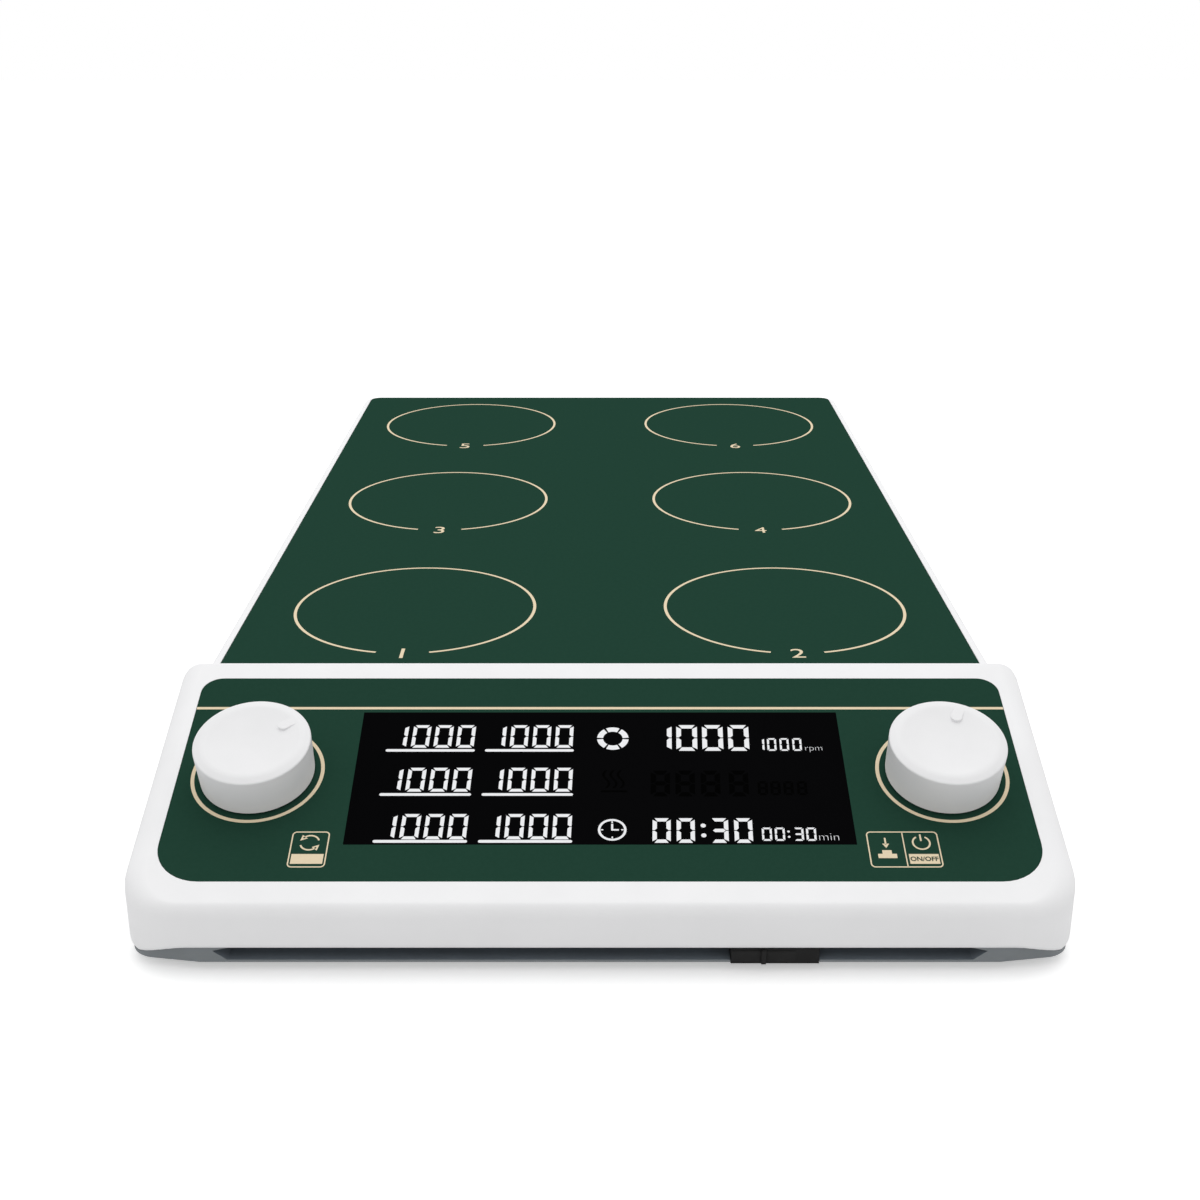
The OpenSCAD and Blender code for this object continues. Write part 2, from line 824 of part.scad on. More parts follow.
module encoder_nuts() {
    color("silver") placed() for (m = sides) at_knob(m) difference() {
        cylinder(d = nut_af / cos(30), h = nut_t, $fn = 6);
        translate([0, 0, -past]) cylinder(d = bush_d + 2 * seat_gap, h = nut_t + 2 * past);
    }
}

module motor_screw_holes(z, l) {
    for (k = [0:motor_screws_each - 1])
        rotate([0, 0, 90 + k * 360 / motor_screws_each]) translate([motor_screw_r, 0, z]) screw_hole(l);
}

module drive_motor(i) {
    color("silver") at_station(i) difference() {
        union() {
            difference() {
                union() {
                    translate([0, 0, can_low]) cylinder(d = motor_d, h = motor_h);
                    translate([0, 0, can_z - overlap])
                        cylinder(d = motor_boss_d, h = motor_boss_h + overlap);
                }
                translate([0, 0, can_low + can_end])
                    cylinder(d = motor_d - 2 * can_wall, h = motor_h - 2 * can_end);
            }
            translate([0, 0, can_low + can_end - overlap])
                cylinder(d = seat_d, h = seat_top - can_low - can_end + overlap);
        }
        translate([0, 0, bush_low_z]) cylinder(d = motor_bush_d + 2 * seat_gap, h = motor_bush_l + past);
        translate([0, 0, bush_high_z - past])
            cylinder(d = motor_bush_d + 2 * seat_gap, h = motor_bush_l + 2 * past);
        motor_screw_holes(can_low - past, can_end + 2 * past);
        lead_hole(sign(station_x(i)));
    }
}

module lead_hole(m) {
    translate([-m * (motor_d / 2 - 2 * can_wall), 0, can_low + branch_up]) rotate([0, -90 * m, 0])
        cylinder(d = branch_d + 2 * slack, h = 2 * can_wall + past);
}

module motor_stators() {
    color("orange") for (i = [1:stations]) at_station(i) difference() {
        translate([0, 0, seat_top + core_end])
            cylinder(d = motor_d - 2 * can_wall - 2 * seat_gap, h = bush_high_z - seat_top - 2 * core_end);
        translate([0, 0, seat_top]) cylinder(d = core_d + 2 * stator_gap, h = bush_high_z - seat_top);
    }
}

module motor_bushes() {
    color("peru") for (i = [1:stations], z = [bush_low_z, bush_high_z]) at_station(i) difference() {
        translate([0, 0, z]) cylinder(d = motor_bush_d, h = motor_bush_l);
        translate([0, 0, z - past]) cylinder(d = spindle_d + 2 * running_gap, h = motor_bush_l + 2 * past);
    }
}

module motor_rotor(i) {
    color("lightsteelblue") at_station(i) {
        translate([0, 0, bush_low_z + slack])
            cylinder(d = spindle_d, h = holder_z - spindle_end - bush_low_z - slack);
        translate([0, 0, seat_top + slack])
            cylinder(d = core_collar_d, h = bush_high_z - seat_top - 2 * slack);
        translate([0, 0, seat_top + core_end])
            cylinder(d = core_d, h = bush_high_z - seat_top - 2 * core_end);
    }
}

module magnet_holder(i) {
    color("gainsboro") at_station(i) difference() {
        union() {
            translate([0, 0, holder_low]) cylinder(d = holder_d, h = holder_t);
            translate([0, 0, hub_low]) cylinder(d = hub_d, h = hub_l + overlap);
        }
        translate([0, 0, hub_low - past])
            cylinder(d = spindle_d + 2 * seat_gap, h = holder_z - spindle_end - hub_low + past);
        for (m = sides) {
            translate([m * magnet_r, 0, holder_z - magnet_t])
                cylinder(d = magnet_d + 2 * seat_gap, h = magnet_t + past);
            translate([0, m * magnet_r, holder_low - past])
                cylinder(d = light_hole_d, h = holder_t + 2 * past);
        }
    }
}

module stir_magnets(i) {
    color("dimgray") at_station(i) for (m = sides)
        translate([m * magnet_r, 0, holder_z - magnet_t]) cylinder(d = magnet_d, h = magnet_t);
}

module motor_chassis() {
    color("silver") difference() {
        placed()
            bar(2 * chassis_half, row_first - chassis_reach, row_last + chassis_reach, chassis_low, can_low);
        for (i = [1:stations]) at_station(i) motor_screw_holes(chassis_low - past, chassis_t + 2 * past);
        placed() {
            for (m = sides, y = chassis_post_y) translate([m * chassis_post_x, y, chassis_low - past])
                screw_hole(chassis_t + 2 * past);
            for (m = sides, r = [0:rows - 1])
                translate([m * wire_x, row_y(r), chassis_low - past])
                    cylinder(d = wire_hole_d, h = chassis_t + 2 * past);
        }
    }
}

module chassis_screws() {
    color("silver") placed() for (m = sides, y = chassis_post_y)
        translate([m * chassis_post_x, y, can_low]) mirror([0, 0, 1]) screw(chassis_screw_l);
}

module motor_screws() {
    color("silver") for (i = [1:stations], k = [0:motor_screws_each - 1])
        at_station(i) rotate([0, 0, 90 + k * 360 / motor_screws_each])
            translate([motor_screw_r, 0, chassis_low]) screw(motor_screw_l);
}

// Plan of the base, drawn in by a distance t
module base_outline(t) {
    half = console_half - base_inset - t;
    front = base_inset + t;
    corner = max(base_corner - t, min_round);
    run = console_half - base_run;
    corner_y = front + base_recede + corner;
    polygon([
        [-half + corner, front + base_recede], [-run, front], [run, front],
        [half - corner, front + base_recede], [half - corner, corner_y], [-half + corner, corner_y]
    ]);
    for (m = sides) translate([m * (half - corner), corner_y]) circle(corner);
    translate([-half, corner_y]) square([2 * half, console_d - base_inset - t - corner_y]);
    rear_round(deck_w - 2 * base_inset - 2 * t, console_d / 2, overall_d - base_inset - t,
        max(deck_corner - base_inset - t, min_round));
}

// Plan of the two shells together, drawn in by a distance t
module shell_plan(t) {
    half = console_half - t;
    corner = front_corner - t;
    for (m = sides) translate([m * (half - corner), t + corner]) circle(corner);
    translate([-half + corner, t]) square([2 * (half - corner), corner]);
    translate([-half, t + corner]) square([2 * half, console_d - 2 * t - corner]);
    rear_round(deck_w - 2 * t, console_d / 2, overall_d - t, max(deck_corner - t, min_round));
}

module base_posts() {
    for (m = sides, y = chassis_post_y)
        translate([m * chassis_post_x, y, floor_z - overlap])
            cylinder(d = boss_d, h = chassis_low - floor_z + overlap);
    for (p = drive_holes())
        translate([p[0], p[1], floor_z - overlap])
            cylinder(d = board_boss_d, h = drive_z - floor_z + overlap);
}

// Dark recess along the front, pointed at its ends
module front_recess() {
    tip_z = recess_z + recess_tip;
    translate([0, base_inset + recess_d, 0]) rotate([90, 0, 0]) linear_extrude(recess_d + base_inset)
        polygon([
            [-recess_half + recess_slant, recess_z], [recess_half - recess_slant, recess_z],
            [recess_half, tip_z], [recess_half - recess_back, recess_top],
            [-recess_half + recess_back, recess_top], [-recess_half, tip_z]
        ]);
}

module base_tray() {
    color("slategray") placed() difference() {
        union() {
            translate([0, 0, base_z]) linear_extrude(shell_z - base_z) base_outline(0);
            translate([0, 0, base_z]) linear_extrude(floor_t) intersection() {
                base_outline(0);
                shell_plan(lip_in);
            }
            translate([0, 0, base_z]) linear_extrude(arch_z - base_z) intersection() {
                difference() {
                    base_outline(0);
                    base_outline(base_wall);
                }
                translate([-face_half, 0]) square([2 * face_half, front_corner]);
            }
            translate([0, 0, base_z]) linear_extrude(shell_z + lip_up - base_z) intersection() {
                base_outline(lip_in - base_inset);
                difference() {
                    shell_plan(lip_in);
                    shell_plan(lip_in + lip_t);
                }
            }
            bar(2 * beam_half, base_inset, base_inset + recess_d + base_wall, base_z, arch_z);
            base_posts();
        }
        front_recess();
        translate([switch_x, 0, 0])
            bar(switch_w + 2 * switch_gap, 0, switch_y + switch_d + switch_gap, 0, recess_top);
        for (m = sides, y = console_boss_y) translate([m * console_boss_x, y, 0]) base_screw_hole();
        for (m = sides, y = deck_boss_y) translate([m * deck_boss_x, y, 0]) base_screw_hole();
        for (m = sides, y = chassis_post_y)
            translate([m * chassis_post_x, y, chassis_low - chassis_screw_l])
                screw_hole(chassis_screw_l + past);
        for (p = drive_holes()) translate([p[0], p[1], drive_z - drive_screw_l])
            screw_hole(drive_screw_l + past);
        for (p = foot_places) translate([p[0], p[1], 0])
            cylinder(d = foot_stem_d + 2 * screw_gap, h = floor_z + past);
    }
}

module base_screw_hole() {
    screw_hole(floor_z + past);
    cylinder(d = head_d + 4 * screw_gap, h = base_z + head_sink);
}

module housing_screws() {
    color("silver") placed() {
        for (m = sides, y = console_boss_y)
            translate([m * console_boss_x, y, base_z + head_sink]) screw(housing_screw_l);
        for (m = sides, y = deck_boss_y) translate([m * deck_boss_x, y, base_z + head_sink])
            screw(housing_screw_l);
    }
}

module rubber_feet() {
    color("black") placed() for (p = foot_places) translate([p[0], p[1], 0]) {
        cylinder(d = foot_d, h = base_z);
        cylinder(d = foot_stem_d, h = base_z + foot_stem_l);
    }
}

function drive_holes() = [
    for (m = sides, y = [drive_y0 + board_hole_in, drive_y1 - board_hole_in])
        [m * (drive_half - board_hole_in), y]
];

module drive_board() {
    color("darkgreen") placed() difference() {
        bar(2 * drive_half, drive_y0, drive_y1, drive_z, drive_z + board_t);
        for (p = drive_holes()) translate([p[0], p[1], drive_z - past]) screw_hole(board_t + 2 * past);
    }
}

module drive_parts() {
    top = drive_z + board_t;
    color("dimgray") placed() {
        bar(plug_w, drive_y1 - plug_t, drive_y1, top, top + plug_h);
        bar(socket_w, ribbon_y() - socket_t / 2, ribbon_y() + socket_t / 2, top, top + plug_h);
        translate([switch_x, 0, 0]) bar(plug_w / 2, drive_y0, drive_y0 + plug_t, top, top + plug_h);
        for (m = sides) translate([m * cap_x, drive_y1 - cap_d, top]) cylinder(d = cap_d, h = cap_h);
        for (k = [(1 - stations) / 2:(stations - 1) / 2])
            translate([k * driver_pitch, 0, 0])
                bar(driver_w, drive_y0 + driver_w, drive_y0 + 2 * driver_w, top, top + driver_t);
    }
}

module board_screws() {
    color("silver") placed() {
        on_panel() for (p = board_holes()) translate([p[0], p[1], board_low]) screw(board_screw_l);
        for (p = drive_holes())
            translate([p[0], p[1], drive_z + board_t]) mirror([0, 0, 1])
                screw(board_t + drive_screw_l - slack);
    }
}

// Where the ribbon leaves the panel's socket, and where it bends down to the drive board
function panel_point(s, w) = [
    lip_run + s * cos(slope) - w * sin(slope),
    slope_z(lip_run) + s * sin(slope) + w * cos(slope)
];
function ribbon_y() = panel_point(socket_s, board_low - socket_h - ribbon_drop)[0];

module panel_ribbon() {
    leave = panel_point(socket_s, board_low - socket_h);
    leave_z = leave[1] - slack;
    bend_z = panel_point(socket_s, board_low - socket_h - ribbon_drop)[1];
    plug_top = drive_z + board_t + plug_h;
    half = ribbon_t / 2;
    color("lightgray") placed() rotate([90, 0, 90]) linear_extrude(ribbon_w, center = true)
        polygon([
            [leave[0] - half, leave_z], [leave[0] + half, leave_z],
            [ribbon_y() + half, bend_z], [ribbon_y() + half, plug_top],
            [ribbon_y() - half, plug_top], [ribbon_y() - half, bend_z]
        ]);
}

module wiring_loom() {
    plug_z = drive_z + board_t + plug_h / 2;
    turn_y = drive_y1 + trunk_d / 2 + trunk_out;
    inlet_back = overall_d - inlet_pocket - wall - inlet_flange_t - inlet_body_l;
    lead_up = can_low + branch_up;
    color("firebrick") placed() {
        translate([0, drive_y1, plug_z]) rotate([-90, 0, 0])
            cylinder(d = trunk_d, h = trunk_d / 2 + trunk_out);
        wire([0, turn_y, plug_z], [0, turn_y + trunk_run, trunk_z], trunk_d);
        wire([0, turn_y + trunk_run, trunk_z], [0, trunk_end, trunk_z], trunk_d);
        wire([0, trunk_end, trunk_z], [0, trunk_end, inlet_z], trunk_d);
        translate([0, trunk_end, inlet_z]) rotate([-90, 0, 0])
            cylinder(d = trunk_d, h = inlet_back - trunk_end);
        for (m = sides, r = [0:rows - 1]) {
            wire([0, row_y(r), trunk_z], [m * wire_x, row_y(r), trunk_z], branch_d);
            wire([m * wire_x, row_y(r), trunk_z], [m * wire_x, row_y(r), lead_up], branch_d);
            translate([m * wire_x, row_y(r), lead_up]) rotate([0, m * 90, 0])
                cylinder(d = branch_d, h = pitch_x / 2 - motor_d / 2 - wire_x + can_wall / 4);
        }
        switch_lead(plug_z);
    }
}

// Lead between the power switch and the drive board
module switch_lead(plug_z) {
    back = switch_y + switch_d;
    mid_z = switch_z + switch_h / 2;
    bend_y = drive_y0 - 2 * branch_d;
    translate([switch_x, back, mid_z + floor_t]) rotate([-90, 0, 0])
        cylinder(d = branch_d, h = bend_y - back);
    wire([switch_x, bend_y, mid_z + floor_t], [switch_x, bend_y, plug_z], branch_d);
    translate([switch_x, bend_y, plug_z]) rotate([-90, 0, 0]) cylinder(d = branch_d, h = drive_y0 - bend_y);
}

module power_switch_body() {
    slot_w = slide_stem_w + slide_travel + 2 * slack;
    mid_z = switch_z + switch_h / 2;
    color("black") placed() translate([switch_x, 0, 0]) difference() {
        bar(switch_w, switch_y, switch_y + switch_d, switch_z, switch_z + switch_h);
        bar(slot_w, switch_y - past, switch_y + slide_stem_d, mid_z - slide_stem_h / 2 - slide_play,
            mid_z + slide_stem_h / 2 + slide_play);
    }
}

module power_slider() {
    mid_z = switch_z + switch_h / 2;
    color("dimgray") placed() translate([switch_x - slide_travel / 2, 0, 0]) {
        bar(slide_rib, switch_y - slack - slide_rib_t, switch_y - slack,
            switch_z + slide_rib_low, switch_z + switch_h - slide_rib_in);
        bar(slide_stem_w, switch_y - slack - overlap, switch_y + slide_stem_d - slack,
            mid_z - slide_stem_h / 2, mid_z + slide_stem_h / 2);
    }
}

module dc_inlet() {
    seat = overall_d - inlet_pocket - wall;
    color("black") placed() translate([0, 0, inlet_z]) {
        difference() {
            union() {
                translate([0, overall_d - inlet_lead, 0]) rotate([90, 0, 0])
                    cylinder(d = inlet_d, h = inlet_pocket + wall - inlet_lead + overlap);
                translate([0, seat, 0]) rotate([90, 0, 0]) cylinder(d = inlet_flange_d, h = inlet_flange_t);
                bar(inlet_body_w, seat - inlet_flange_t - inlet_body_l, seat - inlet_flange_t + overlap,
                    -inlet_body_w / 2, inlet_body_w / 2);
            }
            translate([0, overall_d, 0]) rotate([90, 0, 0])
                cylinder(d = socket_d, h = inlet_lead + socket_deep);
        }
        translate([0, overall_d - inlet_lead - pin_short, 0]) rotate([90, 0, 0])
            cylinder(d = pin_d, h = socket_deep);
    }
}

module inlet_nut() {
    color("silver") placed() translate([0, overall_d - inlet_pocket + inlet_nut_t, inlet_z])
        rotate([90, 0, 0]) difference() {
            cylinder(d = inlet_nut_af / cos(30), h = inlet_nut_t, $fn = 6);
            translate([0, 0, -past]) cylinder(d = inlet_d + 2 * seat_gap, h = inlet_nut_t + 2 * past);
        }
}

console_shell();
deck_shell();
base_tray();
top_plate();
plate_gasket();
panel_overlay();
display_window();
lcd_glass();
lcd_backlight();
control_board();
control_parts();
encoder_body(-1);  // left_encoder_body
encoder_body(1);  // right_encoder_body
push_plunger(-1);  // left_push_plunger
push_plunger(1);  // right_push_plunger
encoder_shaft(-1, left_turn);  // left_encoder_shaft
encoder_shaft(1, right_turn);  // right_encoder_shaft
knob(-1, left_turn);  // left_knob
knob(1, right_turn);  // right_knob
encoder_nuts();
for (i = [1:stations]) {
    drive_motor(i);
    motor_rotor(i);
    magnet_holder(i);
    stir_magnets(i);
}
motor_stators();
motor_bushes();
motor_chassis();
chassis_screws();
motor_screws();
drive_board();
drive_parts();
wiring_loom();
panel_ribbon();
dc_inlet();
inlet_nut();
power_switch_body();
power_slider();
rubber_feet();
housing_screws();
board_screws();
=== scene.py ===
"""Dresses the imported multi-position magnetic stirrer and sets it in plain studio light."""
import json
import logging
import math
from dataclasses import dataclass
from enum import Enum
from typing import Callable, Sequence

import bpy
from bpy.types import Curve, Material, Modifier, Node, NodeSocket, NodeTree, Object
from mathutils import Matrix, Vector


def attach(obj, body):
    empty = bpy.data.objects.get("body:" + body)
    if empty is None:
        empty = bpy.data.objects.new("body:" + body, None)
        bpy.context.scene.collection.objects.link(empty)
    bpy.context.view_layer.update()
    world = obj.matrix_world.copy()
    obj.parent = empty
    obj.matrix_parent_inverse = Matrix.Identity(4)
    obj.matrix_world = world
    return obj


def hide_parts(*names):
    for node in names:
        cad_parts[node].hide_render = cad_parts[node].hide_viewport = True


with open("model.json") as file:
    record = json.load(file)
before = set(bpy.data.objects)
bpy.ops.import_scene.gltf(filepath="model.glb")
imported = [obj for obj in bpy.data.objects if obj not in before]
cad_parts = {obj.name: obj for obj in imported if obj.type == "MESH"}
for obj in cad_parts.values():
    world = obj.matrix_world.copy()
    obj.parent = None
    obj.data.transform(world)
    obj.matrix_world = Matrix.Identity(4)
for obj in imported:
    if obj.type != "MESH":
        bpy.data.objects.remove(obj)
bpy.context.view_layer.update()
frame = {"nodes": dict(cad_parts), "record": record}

LOG = logging.getLogger("stirrer")
MM = 0.001
# thickness of a print, in millimetres
PRINT_T = 0.04
# how far one solid runs past another that it cuts or joins, in millimetres
OVER = 1.0
# a face looks along an axis above the first cosine, and across it below the second
ALONG = 0.9
ACROSS = 0.1
# how close points are taken for one, in metres
CUT_REACH = 1e-7
MERGE_REACH = 1e-6
UP = (0.0, 0.0, 1.0)
BACK = (0.0, 1.0, 0.0)

Point = tuple[float, float, float]
Spot = tuple[float, float]
Spans = tuple[Spot, Spot, Spot]
Loop = list[Spot]
RGB = tuple[int, int, int]
PairTest = Callable[[Vector, Vector], bool]
EdgeRule = Callable[[Vector, Vector, Vector], float]


class Cut(Enum):
    """How a second solid acts on the first."""

    OUT = "DIFFERENCE"
    JOIN = "UNION"


class Pick(Enum):
    """What a test picks: edges by their two ends, or faces by their middle and normal."""

    EDGES = "EDGE"
    FACES = "FACE"


class Side(Enum):
    """The two halves of the console."""

    LEFT = -1
    RIGHT = 1


class Pattern(Enum):
    """Surface effects, each one a shader node group."""

    GRAIN = "moulded_grain"
    BRUSHED = "brushed_lines"
    FILM = "printed_film"


@dataclass(frozen=True)
class Plan:
    """Sizes that several pieces share, in millimetres from the middle of the front edge.

    The panel frame has its x across, its y up the slope and its z out of the printed film.
    """

    overall_d: float = 556.7
    console_half: float = 161.0
    console_d: float = 113.4
    deck_half: float = 150.5
    plate_top: float = 65.0
    shell_low: float = 5.0
    tray_floor: float = 6.1
    arch_top: float = 10.0
    wall: float = 3.0
    slope: float = math.radians(19.35)
    top_flat: float = 1.8
    lip_run: float = 10.8
    knob_x: float = 122.1
    knob_s: float = 49.65
    station_x: float = 77.5
    station_y: tuple[float, ...] = (173.5, 328.5, 483.5)
    boss_r: float = 4.5
    console_bosses: tuple[Spot, ...] = ((148.0, 32.0), (148.0, 92.4))
    deck_bosses: tuple[Spot, ...] = ((139.0, 135.4), (139.0, 335.05), (139.0, 534.7))

    def slope_z(self, y: float) -> float:
        """Height of the sloping face at a depth y."""
        return self.plate_top - (self.console_d - self.top_flat - y) * math.tan(self.slope)

    def slope_normal(self) -> Vector:
        """Direction that the sloping face looks in."""
        return Vector((0.0, -math.sin(self.slope), math.cos(self.slope)))

    def home(self) -> Matrix:
        """Move from the front edge to the part's own frame."""
        return Matrix.Translation((0.0, -self.overall_d / 2 * MM, 0.0))

    def panel_front(self) -> Matrix:
        """Panel frame, measured from the front edge."""
        start = Vector((0.0, self.lip_run, self.slope_z(self.lip_run))) * MM
        return Matrix.Translation(start) @ Matrix.Rotation(self.slope, 4, "X")

    def panel(self) -> Matrix:
        """Panel frame in the part's own frame."""
        return self.home() @ self.panel_front()

    def knob(self, side: Side, turn: float) -> Matrix:
        """Frame of a knob whose pointer is turned by some degrees, clockwise from straight up the slope."""
        place = Matrix.Translation(Vector((side.value * self.knob_x, self.knob_s, 0.0)) * MM)
        return self.panel() @ place @ Matrix.Rotation(-math.radians(turn), 4, "Z")

    def knob_spots(self) -> list[Spot]:
        """Middles of the two knobs on the panel."""
        return pairs([(self.knob_x, self.knob_s)])

    def plate(self) -> Matrix:
        """Frame of the plate's upper face, measured from the front edge."""
        return self.home() @ Matrix.Translation((0.0, 0.0, self.plate_top * MM))

    def stations(self) -> list[Spot]:
        """Middles of the stirring places, row by row from the front left."""
        return [(m * self.station_x, y) for y in self.station_y for m in (-1, 1)]


PLAN = Plan()


# Spans and spots, in millimetres


def wide(half: float) -> Spot:
    """Span that reaches as far to the left as to the right."""
    return (-half, half)


def around(middle: float, width: float) -> Spot:
    """Span of a width about its middle."""
    return (middle - width / 2, middle + width / 2)


def drawn_in(span: Spot, by: float) -> Spot:
    """Span made shorter at both ends."""
    return (span[0] + by, span[1] - by)


def pairs(spots: Sequence[Spot]) -> list[Spot]:
    """Mirror images of some spots, followed by the spots themselves."""
    return [(m * x, y) for m in (-1, 1) for x, y in spots]


# Modelling moves


def only(obj: Object) -> None:
    """Leaves one object selected and active.

    Args:
        obj: the object.
    """
    bpy.ops.object.select_all(action="DESELECT")
    obj.select_set(True)
    bpy.context.view_layer.objects.active = obj


def place_new(name: str, data: bpy.types.ID) -> Object:
    """Makes an object of some data and links it to the scene.

    Args:
        name: name of the new object.
        data: its curve, lamp or camera.

    Returns:
        The new object.
    """
    obj = bpy.data.objects.new(name, data)
    bpy.context.scene.collection.objects.link(obj)
    return obj


def named(name: str) -> Object:
    """Names the primitive just added and puts its place into its mesh.

    Args:
        name: name of the new object.

    Returns:
        The new object.
    """
    obj = bpy.context.object
    obj.name = obj.data.name = name
    bpy.ops.object.transform_apply(location=True, rotation=True, scale=True)
    return obj


def block(name: str, x: Spot, y: Spot, z: Spot) -> Object:
    """Adds a box.

    Args:
        name: name of the new object.
        x: its span across, in millimetres.
        y: its span in depth.
        z: its span in height.

    Returns:
        The new object.
    """
    bpy.ops.object.select_all(action="DESELECT")
    low, high = (Vector(corner) * MM for corner in zip(x, y, z))
    bpy.ops.mesh.primitive_cube_add(size=1.0, location=(low + high) / 2, scale=high - low)
    return named(name)


def drum(name: str, base: Point, axis: Point, radius: float, length: float, sides: int = 64) -> Object:
    """Adds a cylinder.

    Args:
        name: name of the new object.
        base: middle of its first end, in millimetres.
        axis: direction in which it runs.
        radius: radius in millimetres.
        length: length in millimetres.
        sides: number of its sides.

    Returns:
        The new object.
    """
    bpy.ops.object.select_all(action="DESELECT")
    run = Vector(axis).normalized()
    bpy.ops.mesh.primitive_cylinder_add(
        vertices=sides,
        radius=radius * MM,
        depth=length * MM,
        location=(Vector(base) + run * length / 2) * MM,
        rotation=run.to_track_quat("Z", "Y").to_euler(),
    )
    return named(name)


def leave_edit() -> None:
    """Goes back to object mode."""
    bpy.ops.object.mode_set(mode="OBJECT")


def edit_all(obj: Object) -> None:
    """Opens an object in edit mode with all of it selected.

    Args:
        obj: the object.
    """
    only(obj)
    bpy.ops.object.mode_set(mode="EDIT")
    bpy.ops.mesh.select_all(action="SELECT")


def pick(obj: Object, what: Pick, test: PairTest) -> None:
    """Selects edges or faces by place and stays in edit mode.

    Args:
        obj: the object.
        what: whether edges or faces are picked.
        test: takes an edge's two ends, or a face's middle and its normal, with places in millimetres.
    """
    only(obj)
    bpy.ops.object.mode_set(mode="EDIT")
    bpy.ops.mesh.select_mode(type=what.value)
    bpy.ops.mesh.select_all(action="DESELECT")
    leave_edit()
    if what is Pick.EDGES:
        for edge in obj.data.edges:
            a, b = (obj.data.vertices[i].co / MM for i in edge.vertices)
            edge.select = test(a, b)
    else:
        for face in obj.data.polygons:
            face.select = test(face.center / MM, face.normal)
    bpy.ops.object.mode_set(mode="EDIT")


def bevel_where(obj: Object, test: PairTest, width: float, segments: int) -> None:
    """Rounds the edges that a test picks.

    Args:
        obj: the object.
        test: takes the two ends of an edge in millimetres.
        width: radius of the round in millimetres.
        segments: number of flats in the round.
    """
    pick(obj, Pick.EDGES, test)
    bpy.ops.mesh.bevel(
        offset_type="OFFSET",
        offset=width * MM,
        segments=segments,
        profile=0.5,
        affect="EDGES",
        clamp_overlap=False,
    )
    leave_edit()


def near(value: float, target: float, reach: float = 0.02) -> bool:
    """Says whether a length in millimetres is at a target."""
    return abs(value - target) < reach


def upright_at(x: float, y: float) -> PairTest:
    """Test for the upright edges at plus or minus x and at y."""
    return lambda a, b: all(near(abs(p.x), x) and near(p.y, y) for p in (a, b)) and near(a.x, b.x)


def level_at(z: float) -> PairTest:
    """Test for the edges that lie level at a height z."""
    return lambda a, b: near(a.z, z) and near(b.z, z)


def front_at(y: float) -> PairTest:
    """Test for the edges of the face that looks to the front at a depth y."""
    return lambda a, b: near(a.y, y) and near(b.y, y)


def wall_and_cap(a: Vector, b: Vector) -> tuple[Vector, Vector]:
    """Tells the more upright of two faces from the flatter one, by their normals."""
    return (a, b) if abs(a.z) < abs(b.z) else (b, a)


def slice_off(obj: Object, point: Point, normal: Point) -> None:
    """Cuts away what lies beyond a plane and closes the cut.

    Args:
        obj: the object.
        point: a point of the plane in millimetres.
        normal: direction that is cut away.
    """
    edit_all(obj)
    away = Vector(normal).normalized()
    bpy.ops.mesh.bisect(
        plane_co=Vector(point) * MM, plane_no=away, use_fill=True, clear_outer=True, threshold=CUT_REACH
    )
    leave_edit()


def apply_last(obj: Object, modifier: Modifier) -> None:
    """Applies a modifier to its object."""
    only(obj)
    bpy.ops.object.modifier_apply(modifier=modifier.name)


def carve(obj: Object, *tools: Object, how: Cut = Cut.OUT) -> None:
    """Cuts solids out of an object, or joins them to it, and removes them.

    Args:
        obj: the object that is shaped.
        tools: the solids that act on it, in order.
        how: whether they are cut out or joined.
    """
    for tool in tools:
        cut = obj.modifiers.new("cut", "BOOLEAN")
        cut.operation = how.value
        cut.solver = "EXACT"
        cut.object = tool
        apply_last(obj, cut)
        bpy.data.meshes.remove(tool.data)


def soften(obj: Object, rule: EdgeRule, widest: float, segments: int) -> None:
    """Rounds edges with a radius that a rule gives for each.

    Args:
        obj: the object.
        rule: gives the radius for the middle of an edge in millimetres and the normals of its two faces.
        widest: largest radius that the rule gives.
        segments: number of flats in each round.
    """
    mesh = obj.data
    sides: dict[tuple[int, int], list[Vector]] = {}
    for face in mesh.polygons:
        for key in face.edge_keys:
            sides.setdefault(key, []).append(face.normal.copy())
    weight = mesh.attributes.new("bevel_weight_edge", "FLOAT", "EDGE")
    for edge in mesh.edges:
        normals = sides.get(edge.key, [])
        if len(normals) == 2:
            ends = [mesh.vertices[i].co for i in edge.vertices]
            weight.data[edge.index].value = rule((ends[0] + ends[1]) / 2 / MM, *normals) / widest
    bevel = obj.modifiers.new("round", "BEVEL")
    bevel.limit_method = "WEIGHT"
    bevel.width = widest * MM
    bevel.segments = segments
    bevel.use_clamp_overlap = False
    apply_last(obj, bevel)
    left = mesh.attributes.get("bevel_weight_edge")
    if left:
        mesh.attributes.remove(left)


def clean(obj: Object) -> None:
    """Merges doubled points and turns the faces outwards.

    Args:
        obj: the object.
    """
    edit_all(obj)
    bpy.ops.mesh.remove_doubles(threshold=MERGE_REACH)
    bpy.ops.mesh.normals_make_consistent(inside=False)
    leave_edit()


def shade(obj: Object, angle: float = 30.0) -> None:
    """Shades the rounds smooth and keeps the flats flat.

    Args:
        obj: the object.
        angle: edges sharper than this, in degrees, stay crisp.
    """
    only(obj)
    bpy.ops.object.shade_smooth_by_angle(angle=math.radians(angle))
    weighted = obj.modifiers.new("normals", "WEIGHTED_NORMAL")
    weighted.keep_sharp = True
    apply_last(obj, weighted)


